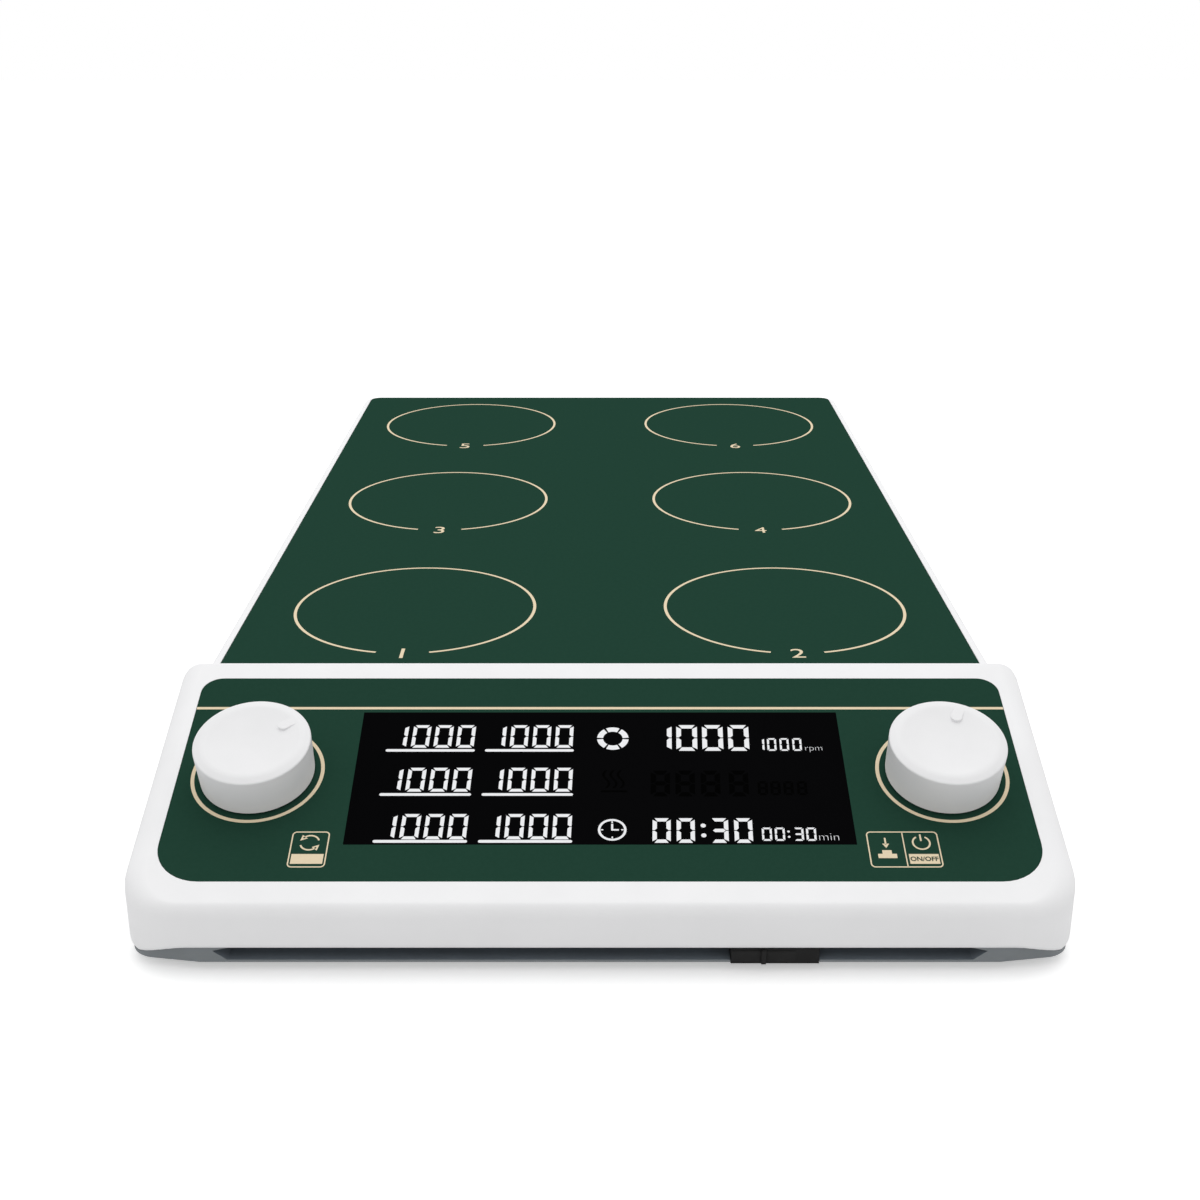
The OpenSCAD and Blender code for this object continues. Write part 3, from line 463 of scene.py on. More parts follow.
def settle(obj: Object, place: Matrix) -> Object:
    """Moves a mesh to its place and leaves its object at the origin.

    Args:
        obj: the object.
        place: where its mesh goes.

    Returns:
        The same object.
    """
    only(obj)
    obj.matrix_world = place
    bpy.ops.object.transform_apply(location=True, rotation=True, scale=True)
    return obj


def bring_home(obj: Object) -> Object:
    """Shades a piece and moves it from the front edge to the part's own frame."""
    shade(obj)
    return settle(obj, PLAN.home())


def twin(obj: Object, name: str) -> Object:
    """Copies an object together with its mesh.

    Args:
        obj: the object.
        name: name of the copy.

    Returns:
        The copy.
    """
    other = obj.copy()
    other.data = obj.data.copy()
    other.name = other.data.name = name
    bpy.context.scene.collection.objects.link(other)
    return other


def fuse(name: str, parts: Sequence[Object]) -> Object:
    """Joins objects into one.

    Args:
        name: name of the joined object.
        parts: the objects.

    Returns:
        The joined object.
    """
    only(parts[0])
    for part in parts[1:]:
        part.select_set(True)
    bpy.ops.object.join()
    parts[0].name = parts[0].data.name = name
    return parts[0]


def set_out(piece: Object, name: str, spots: Sequence[Spot]) -> Object:
    """Sets a copy of a piece at every spot of the plan and joins them.

    Args:
        piece: the piece, modelled at the front edge's middle; it takes the last spot itself.
        name: name of the joined object.
        spots: the places in millimetres.

    Returns:
        The joined object.
    """
    shade(piece)
    copies = [twin(piece, piece.name) for _ in spots[1:]] + [piece]
    for copy, (x, y) in zip(copies, spots):
        settle(copy, PLAN.home() @ Matrix.Translation((x * MM, y * MM, 0.0)))
    return fuse(name, copies)


def hand_over(obj: Object, body: str, finish: str, *nodes: str, slot: bool = True) -> None:
    """Dresses a finished piece and hangs it on its body.

    Args:
        obj: the piece.
        body: body that it rides on.
        finish: name of its finish.
        nodes: solids of the frame that it stands for.
        slot: not used.
    """
    if not obj.data.materials:
        obj.data.materials.append(FINISHES[finish].material())
    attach(obj, body)
    if nodes:
        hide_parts(*nodes)
    LOG.info("%s: %d faces on %s, finish %s", obj.name, len(obj.data.polygons), body, finish)


# Flat drawings: every outline is a closed loop of points in millimetres


def on_circle(middle: Spot, radius: float, turn: float) -> Spot:
    """Point of a circle at an angle in radians from +x."""
    return (middle[0] + radius * math.cos(turn), middle[1] + radius * math.sin(turn))


def arc(middle: Spot, radius: float, start: float, end: float, steps: int) -> Loop:
    """Points along an arc between two angles in degrees from +x, both ends included."""
    turns = [math.radians(start + (end - start) * k / steps) for k in range(steps + 1)]
    return [on_circle(middle, radius, turn) for turn in turns]


def disc(middle: Spot, radius: float, steps: int) -> Loop:
    """Outline of a full circle."""
    return arc(middle, radius, 0.0, 360.0, steps)[:-1]


def band(middle: Spot, radius: float, width: float, start: float, end: float, steps: int) -> Loop:
    """Outline of a curved line of a given width along an arc."""
    outer = arc(middle, radius + width / 2, start, end, steps)
    return outer + arc(middle, radius - width / 2, end, start, steps)


def hoop(middle: Spot, radius: float, width: float, steps: int) -> list[Loop]:
    """Outlines of a closed ring line."""
    return [disc(middle, radius + m * width / 2, steps) for m in (1, -1)]


def rect(x: Spot, y: Spot) -> Loop:
    """Outline of a rectangle."""
    return [(x[0], y[0]), (x[1], y[0]), (x[1], y[1]), (x[0], y[1])]


def pill(x: Spot, y: Spot, radius: float, steps: int = 6) -> Loop:
    """Outline of a rectangle with round corners.

    Args:
        x: its span across.
        y: its span upwards.
        radius: radius of its corners.
        steps: number of chords in each corner.

    Returns:
        The outline.
    """
    (x0, x1), (y0, y1) = drawn_in(x, radius), drawn_in(y, radius)
    corners = (((x1, y1), 0), ((x0, y1), 90), ((x0, y0), 180), ((x1, y0), 270))
    return [spot for middle, turn in corners for spot in arc(middle, radius, turn, turn + 90, steps)]


def framed(x: Spot, y: Spot, radius: float, line: float) -> list[Loop]:
    """Outlines of a rounded rectangle drawn as a line."""
    inner = pill(drawn_in(x, line), drawn_in(y, line), max(radius - line, line / 4))
    return [pill(x, y, radius), inner]


def stroke(a: Spot, b: Spot, width: float, steps: int = 8) -> Loop:
    """Outline of a straight line with round ends."""
    turn = math.degrees(math.atan2(b[1] - a[1], b[0] - a[0]))
    return arc(b, width / 2, turn - 90, turn + 90, steps) + arc(a, width / 2, turn + 90, turn + 270, steps)


def moved(outline: Sequence[Spot], middle: Spot) -> Loop:
    """Outline moved to a middle."""
    return [(middle[0] + x, middle[1] + y) for x, y in outline]


def flat_mesh(drawing: Curve, place: Matrix) -> Object:
    """Turns a flat curve or text into a thin mesh and lays it in its place.

    Args:
        drawing: the curve or text.
        place: frame in which it is drawn.

    Returns:
        The new mesh object, standing on the drawing plane.
    """
    drawing.extrude = PRINT_T / 2 * MM
    only(place_new(drawing.name, drawing))
    bpy.ops.object.convert(target="MESH")
    made = bpy.context.object
    clean(made)
    return settle(made, place @ Matrix.Translation((0.0, 0.0, PRINT_T / 2 * MM)))


def flat_piece(name: str, loops: Sequence[Loop], place: Matrix) -> Object:
    """Makes a thin printed piece from outlines; an outline inside another is a hole.

    Args:
        name: name of the new object.
        loops: the outlines.
        place: frame in which they are drawn.

    Returns:
        The new mesh object.
    """
    curve = bpy.data.curves.new(name, "CURVE")
    curve.dimensions = "2D"
    curve.fill_mode = "BOTH"
    for loop in loops:
        line = curve.splines.new("POLY")
        line.points.add(len(loop) - 1)
        for point, (x, y) in zip(line.points, loop):
            point.co = (x * MM, y * MM, 0.0, 1.0)
        line.use_cyclic_u = True
    return flat_mesh(curve, place)


def lettering(name: str, words: str, x: Spot, y: Spot, place: Matrix, thin: float = 0.0) -> Object:
    """Makes figures or letters as large as fits in a rectangle, in its middle.

    Args:
        name: name of the new object.
        words: what is written.
        x: the rectangle's span across, in millimetres.
        y: its span upwards.
        place: frame in which they are drawn.
        thin: how much thinner their strokes are drawn, as a share of the height.

    Returns:
        The new mesh object.
    """
    text = bpy.data.curves.new(name, "FONT")
    text.body = words
    text.size = (y[1] - y[0]) * MM
    text.offset = -thin * text.size
    made = flat_mesh(text, Matrix.Identity(4))
    spots = [v.co for v in made.data.vertices]
    x0, x1 = min(p.x for p in spots), max(p.x for p in spots)
    y0, y1 = min(p.y for p in spots), max(p.y for p in spots)
    size = min((x[1] - x[0]) * MM / (x1 - x0), (y[1] - y[0]) * MM / (y1 - y0))
    middle = Matrix.Translation((sum(x) / 2 * MM, sum(y) / 2 * MM, 0.0))
    centred = Matrix.Translation((-(x0 + x1) / 2, -(y0 + y1) / 2, 0.0))
    return settle(made, place @ middle @ Matrix.Diagonal((size, size, 1.0, 1.0)) @ centred)


# Finishes


def linear(colour: RGB) -> tuple[float, float, float, float]:
    """Linear values of a colour that is written as it looks on a screen."""
    steps = [c / 255 for c in colour]
    return (*(s / 12.92 if s <= 0.04045 else ((s + 0.055) / 1.055) ** 2.4 for s in steps), 1.0)


def feed(tree: NodeTree, node: Node, inputs: dict) -> None:
    """Sets the inputs of a node.

    Args:
        tree: its tree.
        node: the node.
        inputs: for each input's name or number, a socket to link to it or a plain value.
    """
    for key, value in inputs.items():
        if isinstance(value, NodeSocket):
            tree.links.new(value, node.inputs[key])
        else:
            node.inputs[key].default_value = value


def add_node(tree: NodeTree, kind: str, inputs: dict) -> Node:
    """Adds a node with its inputs.

    Args:
        tree: the tree.
        kind: type of the node.
        inputs: as feed takes them.

    Returns:
        The new node.
    """
    node = tree.nodes.new(kind)
    feed(tree, node, inputs)
    return node


def add_math(tree: NodeTree, operation: str, *inputs: NodeSocket | float) -> NodeSocket:
    """Adds a sum.

    Args:
        tree: the tree.
        operation: what is done.
        inputs: sockets or values, in order.

    Returns:
        The socket of its value.
    """
    node = tree.nodes.new("ShaderNodeMath")
    node.operation = operation
    feed(tree, node, dict(enumerate(inputs)))
    return node.outputs["Value"]


class Effects:
    """Shader node groups that the finishes share.

    Each group takes Vector and Scale, and gives Height for bump, Tone for colour and Gloss for roughness.
    """

    OUTPUTS = ("Height", "Tone", "Gloss")

    def __init__(self) -> None:
        """Starts with no group built."""
        self.made: dict[Pattern, NodeTree] = {}

    def group(self, pattern: Pattern) -> NodeTree:
        """Gives a pattern's group, built the first time it is asked for.

        Args:
            pattern: the pattern.

        Returns:
            Its node group.
        """
        if pattern not in self.made:
            tree = bpy.data.node_groups.new(pattern.value, "ShaderNodeTree")
            tree.interface.new_socket("Vector", in_out="INPUT", socket_type="NodeSocketVector")
            tree.interface.new_socket("Scale", in_out="INPUT", socket_type="NodeSocketFloat")
            for name in self.OUTPUTS:
                tree.interface.new_socket(name, in_out="OUTPUT", socket_type="NodeSocketFloat")
            build = {Pattern.GRAIN: self._grain, Pattern.BRUSHED: self._brushed, Pattern.FILM: self._film}
            layers = build[pattern](tree, tree.nodes.new("NodeGroupInput"))
            add_node(tree, "NodeGroupOutput", dict(zip(self.OUTPUTS, layers)))
            self.made[pattern] = tree
        return self.made[pattern]

    @staticmethod
    def _noise(
        tree: NodeTree, start: Node, share: float, detail: float, stretch: Point = (1.0, 1.0, 1.0)
    ) -> NodeSocket:
        """Adds a noise at a share of the group's scale.

        Args:
            tree: the group.
            start: its input node.
            share: part of the group's scale.
            detail: octaves of the noise.
            stretch: how the pattern is drawn out along each axis.

        Returns:
            The noise's value socket.
        """
        mapping = add_node(tree, "ShaderNodeMapping", {"Vector": start.outputs["Vector"], "Scale": stretch})
        scale = add_math(tree, "MULTIPLY", start.outputs["Scale"], share)
        inputs = {"Vector": mapping.outputs["Vector"], "Scale": scale, "Detail": detail}
        return add_node(tree, "ShaderNodeTexNoise", inputs).outputs[0]

    def _grain(self, tree: NodeTree, start: Node) -> list[NodeSocket]:
        """Fine even grain of a moulding, with a slow drift of tone and gloss."""
        layers = ((1.0, 2.0), (0.02, 3.0), (0.05, 4.0))
        return [self._noise(tree, start, share, detail) for share, detail in layers]

    def _brushed(self, tree: NodeTree, start: Node) -> list[NodeSocket]:
        """Fine parallel lines of drawn or rolled metal."""
        lines = self._noise(tree, start, share=1.0, detail=3.0, stretch=(0.04, 1.0, 1.0))
        return [lines, lines, self._noise(tree, start, share=0.08, detail=3.0)]

    def _film(self, tree: NodeTree, start: Node) -> list[NodeSocket]:
        """Close speckle of a matte printed face, with faint wiped streaks in its gloss.

        Args:
            tree: the group.
            start: its input node.

        Returns:
            The sockets of height, tone and gloss.
        """
        inputs = {key: start.outputs[key] for key in ("Vector", "Scale")}
        cells = add_node(tree, "ShaderNodeTexVoronoi", inputs)
        tone = self._noise(tree, start, share=0.3, detail=4.0)
        gloss = self._noise(tree, start, share=0.01, detail=5.0, stretch=(0.3, 1.0, 1.0))
        return [cells.outputs["Distance"], tone, gloss]


EFFECTS = Effects()


@dataclass(frozen=True)
class Finish:
    """One surface finish; colours are written as they look on a screen."""

    name: str
    low: RGB
    high: RGB
    rough: Spot = (0.45, 0.6)
    pattern: Pattern = Pattern.GRAIN
    scale: float = 1500.0
    bump: float = 0.1
    metallic: float = 0.0
    specular: float = 0.5
    coat: float = 0.0
    glow: float = 0.0
    gloss_from: Spot = (0.3, 0.7)
    bump_depth: float = 0.1

    def material(self) -> Material:
        """Gives the finish's material, built the first time it is asked for."""
        return bpy.data.materials.get(self.title()) or self._build()

    def title(self) -> str:
        """Name of the finish's material, apart from the plain ones that come with the frame."""
        return f"{self.name}_finish"

    def _build(self) -> Material:
        """Builds the nodes: one effect group drives colour, roughness and bump of one shader.

        Returns:
            The new material.
        """
        made = bpy.data.materials.new(self.title())
        made.use_nodes = True
        tree = made.node_tree
        place = tree.nodes.new("ShaderNodeTexCoord")
        effect = tree.nodes.new("ShaderNodeGroup")
        effect.node_tree = EFFECTS.group(self.pattern)
        feed(tree, effect, {"Vector": place.outputs["Object"], "Scale": self.scale})
        height, tone_share, gloss_share = (effect.outputs[name] for name in Effects.OUTPUTS)

        tone = tree.nodes.new("ShaderNodeMix")
        tone.data_type = "RGBA"
        feed(tree, tone, {"Factor": tone_share, "A": linear(self.low), "B": linear(self.high)})
        gloss = add_node(tree, "ShaderNodeMapRange", {"Value": gloss_share})
        for word, (low, high) in (("From", self.gloss_from), ("To", self.rough)):
            feed(tree, gloss, {f"{word} Min": low, f"{word} Max": high})
        depth = self.bump_depth * MM
        bump = add_node(tree, "ShaderNodeBump", {"Height": height, "Strength": self.bump, "Distance": depth})

        shader = tree.nodes["Principled BSDF"]
        feed(tree, shader, {
            "Base Color": tone.outputs["Result"],
            "Roughness": gloss.outputs["Result"],
            "Normal": bump.outputs["Normal"],
            "Metallic": self.metallic,
            "Specular IOR Level": self.specular,
            "Coat Weight": self.coat,
        })
        if self.glow:
            feed(tree, shader, {"Emission Color": tone.outputs["Result"], "Emission Strength": self.glow})
        return made


def moulded(
    name: str, low: RGB, high: RGB, rough: Spot, bump: float, specular: float, scale: float = 2600.0
) -> Finish:
    """An outer moulding with a close grain."""
    return Finish(name, low, high, rough, scale=scale, bump=bump, specular=specular)


def printed(
    name: str, low: RGB, high: RGB, rough: Spot, scale: float, bump: float, glow: float = 0.0
) -> Finish:
    """A matte printed face."""
    return Finish(name, low, high, rough, Pattern.FILM, scale, bump, specular=0.0, glow=glow)


def metal(name: str, low: RGB, high: RGB, rough: Spot = (0.25, 0.4)) -> Finish:
    """A bare metal with fine lines."""
    return Finish(name, low, high, rough, Pattern.BRUSHED, scale=2500.0, bump=0.08, metallic=1.0)


FINISHES: dict[str, Finish] = {
    finish.name: finish
    for finish in (
        moulded("shell_white", (238, 238, 239), (244, 244, 245), (0.42, 0.55), 0.06, 0.3),
        moulded("base_grey", (124, 129, 132), (132, 137, 140), (0.5, 0.65), 0.2, 0.3),
        # painted shade: a slightly darker, bluer copy of base_grey, given to the faces of the front recess
        moulded("recess_shade_grey", (116, 124, 132), (124, 132, 140), (0.5, 0.65), 0.2, 0.2),
        printed("plate_green", (32, 62, 50), (36, 66, 54), (0.6, 0.75), 1800.0, 0.15),
        printed("film_green", (32, 62, 50), (36, 66, 54), (0.55, 0.7), 2400.0, 0.12),
        Finish("seal_rubber", (20, 20, 21), (30, 30, 31), (0.7, 0.85), scale=1800.0, bump=0.3),
        Finish("lens_black", (7, 7, 8), (10, 10, 11), (0.08, 0.14), scale=400.0, bump=0.0, specular=0.0),
        Finish("display_glass", (48, 52, 52), (56, 60, 60), (0.1, 0.2), scale=400.0, bump=0.02),
        Finish("backlight_white", (226, 226, 222), (234, 234, 230), (0.4, 0.55), bump=0.05),
        Finish("board_green", (18, 70, 42), (24, 82, 50), (0.35, 0.5), Pattern.FILM, 900.0, 0.2, coat=0.2),
        Finish("component_black", (26, 26, 28), (36, 36, 38), (0.5, 0.65), bump=0.2),
        metal("plated_steel", (170, 172, 176), (198, 200, 204)),
        Finish("plunger_ivory", (222, 216, 198), (230, 224, 206), (0.35, 0.5), bump=0.08),
        moulded("knob_white", (232, 232, 233), (238, 238, 239), (0.38, 0.5), 0.05, 0.3, 3200.0),
        metal("motor_steel", (150, 152, 156), (176, 178, 182)),
        metal("holder_alloy", (186, 188, 190), (206, 208, 210)),
        metal("magnet_nickel", (190, 188, 182), (208, 206, 200), (0.15, 0.25)),
        metal("winding_copper", (176, 100, 58), (198, 120, 74), (0.3, 0.45)),
        metal("bush_bronze", (150, 112, 62), (172, 132, 78), (0.35, 0.5)),
        metal("chassis_sheet", (160, 163, 166), (184, 187, 190), (0.35, 0.5)),
        Finish("loom_sleeve", (34, 34, 36), (46, 46, 48), (0.6, 0.75), scale=1200.0, bump=0.3),
        Finish("ribbon_grey", (150, 152, 156), (162, 164, 168), (0.45, 0.6), bump=0.1),
        moulded("switch_black", (35, 35, 35), (41, 41, 41), (0.5, 0.65), 0.15, 0.1),
        moulded("slide_grey", (38, 38, 38), (44, 44, 44), (0.5, 0.65), 0.15, 0.1),
        printed("ink_cream", (225, 208, 177), (233, 216, 185), (0.6, 0.75), 2400.0, 0.08),
        printed("ink_dark", (30, 56, 46), (36, 62, 52), (0.6, 0.75), 2400.0, 0.08),
        printed("segment_lit", (216, 217, 219), (224, 225, 227), (0.3, 0.4), 900.0, 0.02, 0.2),
        printed("segment_idle", (3, 3, 3), (5, 5, 5), (0.2, 0.3), 900.0, 0.02),
    )
}


# Housings


@dataclass
class Console:
    """White control housing with the sloping face."""

    front_corner: float = 21.0
    lip_round: float = 2.8
    side_round: float = 8.0
    lower_round: float = 1.9
    corner_steps: int = 10
    clear: float = 0.01
    arch_half: float = 138.0
    arch_ends: int = 5
    arch_phase: float = 0.15
    arch_past: float = 1.5
    arch_steep: float = 0.5
    film_half: float = 150.6
    film_s: Spot = (-0.1, 99.41)
    film_t: float = 0.5
    film_low_r: float = 16.5
    film_top_r: float = 7.5
    lens_half: float = 87.7
    lens_s: Spot = (16.1, 80.8)
    lens_t: float = 2.0
    lens_ledge: float = 3.0
    bush_r: float = 4.6
    boss_drop: float = 10.0
    throat_top: float = 58.0
    above: float = 5.0
    below: float = -10.0

    def form(self, name: str, inset: float, low: float) -> Object:
        """Makes the wedge of the housing, drawn in all round.

        Args:
            name: name of the new object.
            inset: how far it is drawn in, in millimetres.
            low: its lower face.

        Returns:
            The wedge with its two front corners rounded.
        """
        half, front, rear = PLAN.console_half - inset, inset + self.clear, PLAN.console_d - inset
        wedge = block(name, wide(half), (front, rear), (low, PLAN.plate_top - inset))
        normal = PLAN.slope_normal()
        face = Vector((0.0, PLAN.lip_run, PLAN.slope_z(PLAN.lip_run))) - normal * inset
        slice_off(wedge, face, normal)
        bevel_where(wedge, upright_at(half, front), self.front_corner - inset, self.corner_steps)
        return wedge

    def edge_radius(self, middle: Vector, a: Vector, b: Vector) -> float:
        """Radius of an outer edge: a tight lip in front, wider at the sides, small below.

        Args:
            middle: middle of the edge in millimetres.
            a: normal of its one face.
            b: normal of its other face.

        Returns:
            The radius in millimetres.
        """
        wall, cap = wall_and_cap(a, b)
        if abs(wall.z) > ACROSS or wall.y > ALONG or near(middle.y, self.front_corner):
            return 0.0
        if cap.z < ALONG:
            return self.lower_round if cap.z < -self.arch_steep else 0.0
        return self.lip_round + (self.side_round - self.lip_round) * wall.x**2

    def arch(self) -> Object:
        """Makes the solid that lifts the front's lower edge, falling off in a curve round the corners.

        Returns:
            The solid, measured from the front edge.
        """
        straight = PLAN.console_half - self.front_corner
        turns = [math.pi / 2 / self.corner_steps * (k + self.arch_phase) for k in range(self.arch_ends + 1)]
        spots = [straight + self.front_corner * math.sin(turn) for turn in turns]
        low, rise, run = PLAN.shell_low, PLAN.arch_top - PLAN.shell_low, spots[-1] - self.arch_half
        curve = [(self.arch_half, PLAN.arch_top)]
        curve += [(x, low + rise * math.cos(math.pi / 2 * (x - self.arch_half) / run)) for x in spots]
        across, deep = wide(spots[-1] + self.arch_past), (-OVER, self.front_corner)
        tool = block("arch", across, deep, (0.0, PLAN.arch_top))
        for (x0, z0), (x1, z1) in zip(curve, curve[1:]):
            for m in (-1, 1):
                slice_off(tool, (m * x0, 0.0, z0), (m * (z0 - z1), 0.0, x1 - x0))
        return tool

    def pockets(self) -> list[Object]:
        """Makes the solids that seat the film and the lens and let the encoder bushes through.

        Returns:
            The solids, measured from the front edge.
        """
        film = block("film_seat", wide(self.film_half), self.film_s, (-self.film_t, self.above))
        bevel_where(film, upright_at(self.film_half, self.film_s[0]), self.film_low_r, segments=10)
        bevel_where(film, upright_at(self.film_half, self.film_s[1]), self.film_top_r, segments=8)
        lens = block("lens_seat", wide(self.lens_half), self.lens_s, (-self.lens_t, self.above))
        through, ledge = (self.below, self.above), self.lens_ledge
        sight = block("lens_sight", wide(self.lens_half - ledge), drawn_in(self.lens_s, ledge), through)
        run = self.above - self.below
        bushes = [drum("bush_hole", (x, s, self.below), UP, self.bush_r, run) for x, s in PLAN.knob_spots()]
        return [settle(tool, PLAN.panel_front()) for tool in (film, lens, sight, *bushes)]

    def build(self) -> Object:
        """Models the housing.

        Returns:
            The housing in its place.
        """
        wall, rear = PLAN.wall, PLAN.console_d
        shell = self.form("console_housing", 0.0, PLAN.shell_low)
        carve(shell, self.arch())
        soften(shell, self.edge_radius, self.side_round, segments=8)
        cavity = self.form("cavity", wall, self.below)
        throat_y = (rear - 3 * wall, rear + OVER)
        carve(shell, cavity, block("throat", wide(PLAN.deck_half - wall), throat_y, (0.0, self.throat_top)))
        bosses = [
            drum("boss", (x, y, PLAN.tray_floor), UP, PLAN.boss_r, PLAN.slope_z(y) - self.boss_drop)
            for x, y in pairs(PLAN.console_bosses)
        ]
        carve(shell, *bosses, how=Cut.JOIN)
        carve(shell, *self.pockets())
        return bring_home(shell)

    def dress(self) -> None:
        """Builds the housing and hands it over."""
        hand_over(self.build(), "housing", "shell_white", "console_shell")


@dataclass
class Deck:
    """White housing under the plate."""

    top: float = 64.5
    corner: float = 10.0
    edge: float = 2.0
    front_past: float = 2.0
    pocket_half: float = 146.8
    pocket_end: float = 553.0
    pocket_corner: float = 6.3
    ledge_top: float = 61.0
    ledge_low: float = 58.0
    ledge_half: float = 138.5
    ledge_y: Spot = (121.7, 544.7)
    opening_z: Spot = (50.0, 70.0)
    rib_t: float = 3.0
    rib_low: float = 50.0
    rib_drop: float = 0.02
    rib_y: Spot = (251.0, 406.0)
    boss_drop: float = 7.0
    inlet_z: float = 28.0
    inlet_r: float = 5.6
    inlet_in: float = 30.0
    inlet_run: float = 40.0
    inlet_pocket: float = 4.0
    inlet_pocket_r: float = 10.0
    inlet_pocket_run: float = 20.0
    inlet_boss_r: float = 13.0

    def edge_radius(self, middle: Vector, a: Vector, b: Vector) -> float:
        """Radius of an outer edge; the front face that meets the console stays crisp."""
        wall, cap = wall_and_cap(a, b)
        return self.edge if abs(cap.z) > ALONG and abs(wall.z) < ACROSS and wall.y > -ALONG else 0.0

    def hollow(self) -> list[Object]:
        """Makes the solids that hollow the housing: inside, opening under the plate, and plate seat.

        Returns:
            The solids, measured from the front edge.
        """
        front, wall = PLAN.console_d - self.front_past, PLAN.wall
        inner, rear = PLAN.deck_half - wall, PLAN.overall_d - wall
        inside = block("inside", wide(inner), (front, rear), (0.0, self.ledge_low))
        bevel_where(inside, upright_at(inner, rear), self.corner - wall, segments=6)
        opening = block("opening", wide(self.ledge_half), self.ledge_y, self.opening_z)
        half, end = self.pocket_half, self.pocket_end
        seat = block("seat", wide(half), (front, end), (self.ledge_top, self.opening_z[1]))
        bevel_where(seat, upright_at(half, end), self.pocket_corner, segments=8)
        return [inside, opening, seat]

    def inside_parts(self) -> list[Object]:
        """Makes the ribs, the screw bosses and the thick wall round the inlet.

        Returns:
            The solids, measured from the front edge.
        """
        across, height = wide(PLAN.deck_half - PLAN.wall / 2), (self.rib_low, self.ledge_top - self.rib_drop)
        ribs = [block("rib", across, around(y, self.rib_t), height) for y in self.rib_y]
        ribs.append(block("rib", around(0.0, self.rib_t), drawn_in(self.ledge_y, -OVER), height))
        run = self.ledge_top - self.boss_drop
        spots = pairs(PLAN.deck_bosses)
        bosses = [drum("boss", (x, y, PLAN.tray_floor), UP, PLAN.boss_r, run) for x, y in spots]
        seat = PLAN.overall_d - self.inlet_pocket - PLAN.wall
        run = PLAN.overall_d - OVER - seat
        return [*ribs, *bosses, drum("inlet_boss", (0.0, seat, self.inlet_z), BACK, self.inlet_boss_r, run)]

    def build(self) -> Object:
        """Models the housing.

        Returns:
            The housing in its place.
        """
        half, rear, z = PLAN.deck_half, PLAN.overall_d, self.inlet_z
        shell = block("deck_housing", wide(half), (PLAN.console_d, rear), (PLAN.shell_low, self.top))
        bevel_where(shell, upright_at(half, rear), self.corner, segments=12)
        soften(shell, self.edge_radius, self.edge, segments=5)
        carve(shell, *self.hollow())
        carve(shell, *self.inside_parts(), how=Cut.JOIN)
        start = (0.0, rear - self.inlet_pocket, z)
        pocket = drum("inlet_pocket", start, BACK, self.inlet_pocket_r, self.inlet_pocket_run, sides=96)
        start = (0.0, rear - self.inlet_in, z)
        carve(shell, pocket, drum("inlet_hole", start, BACK, self.inlet_r, self.inlet_run))
        return bring_home(shell)

    def dress(self) -> None:
        """Builds the housing and hands it over."""
        hand_over(self.build(), "housing", "shell_white", "deck_shell")


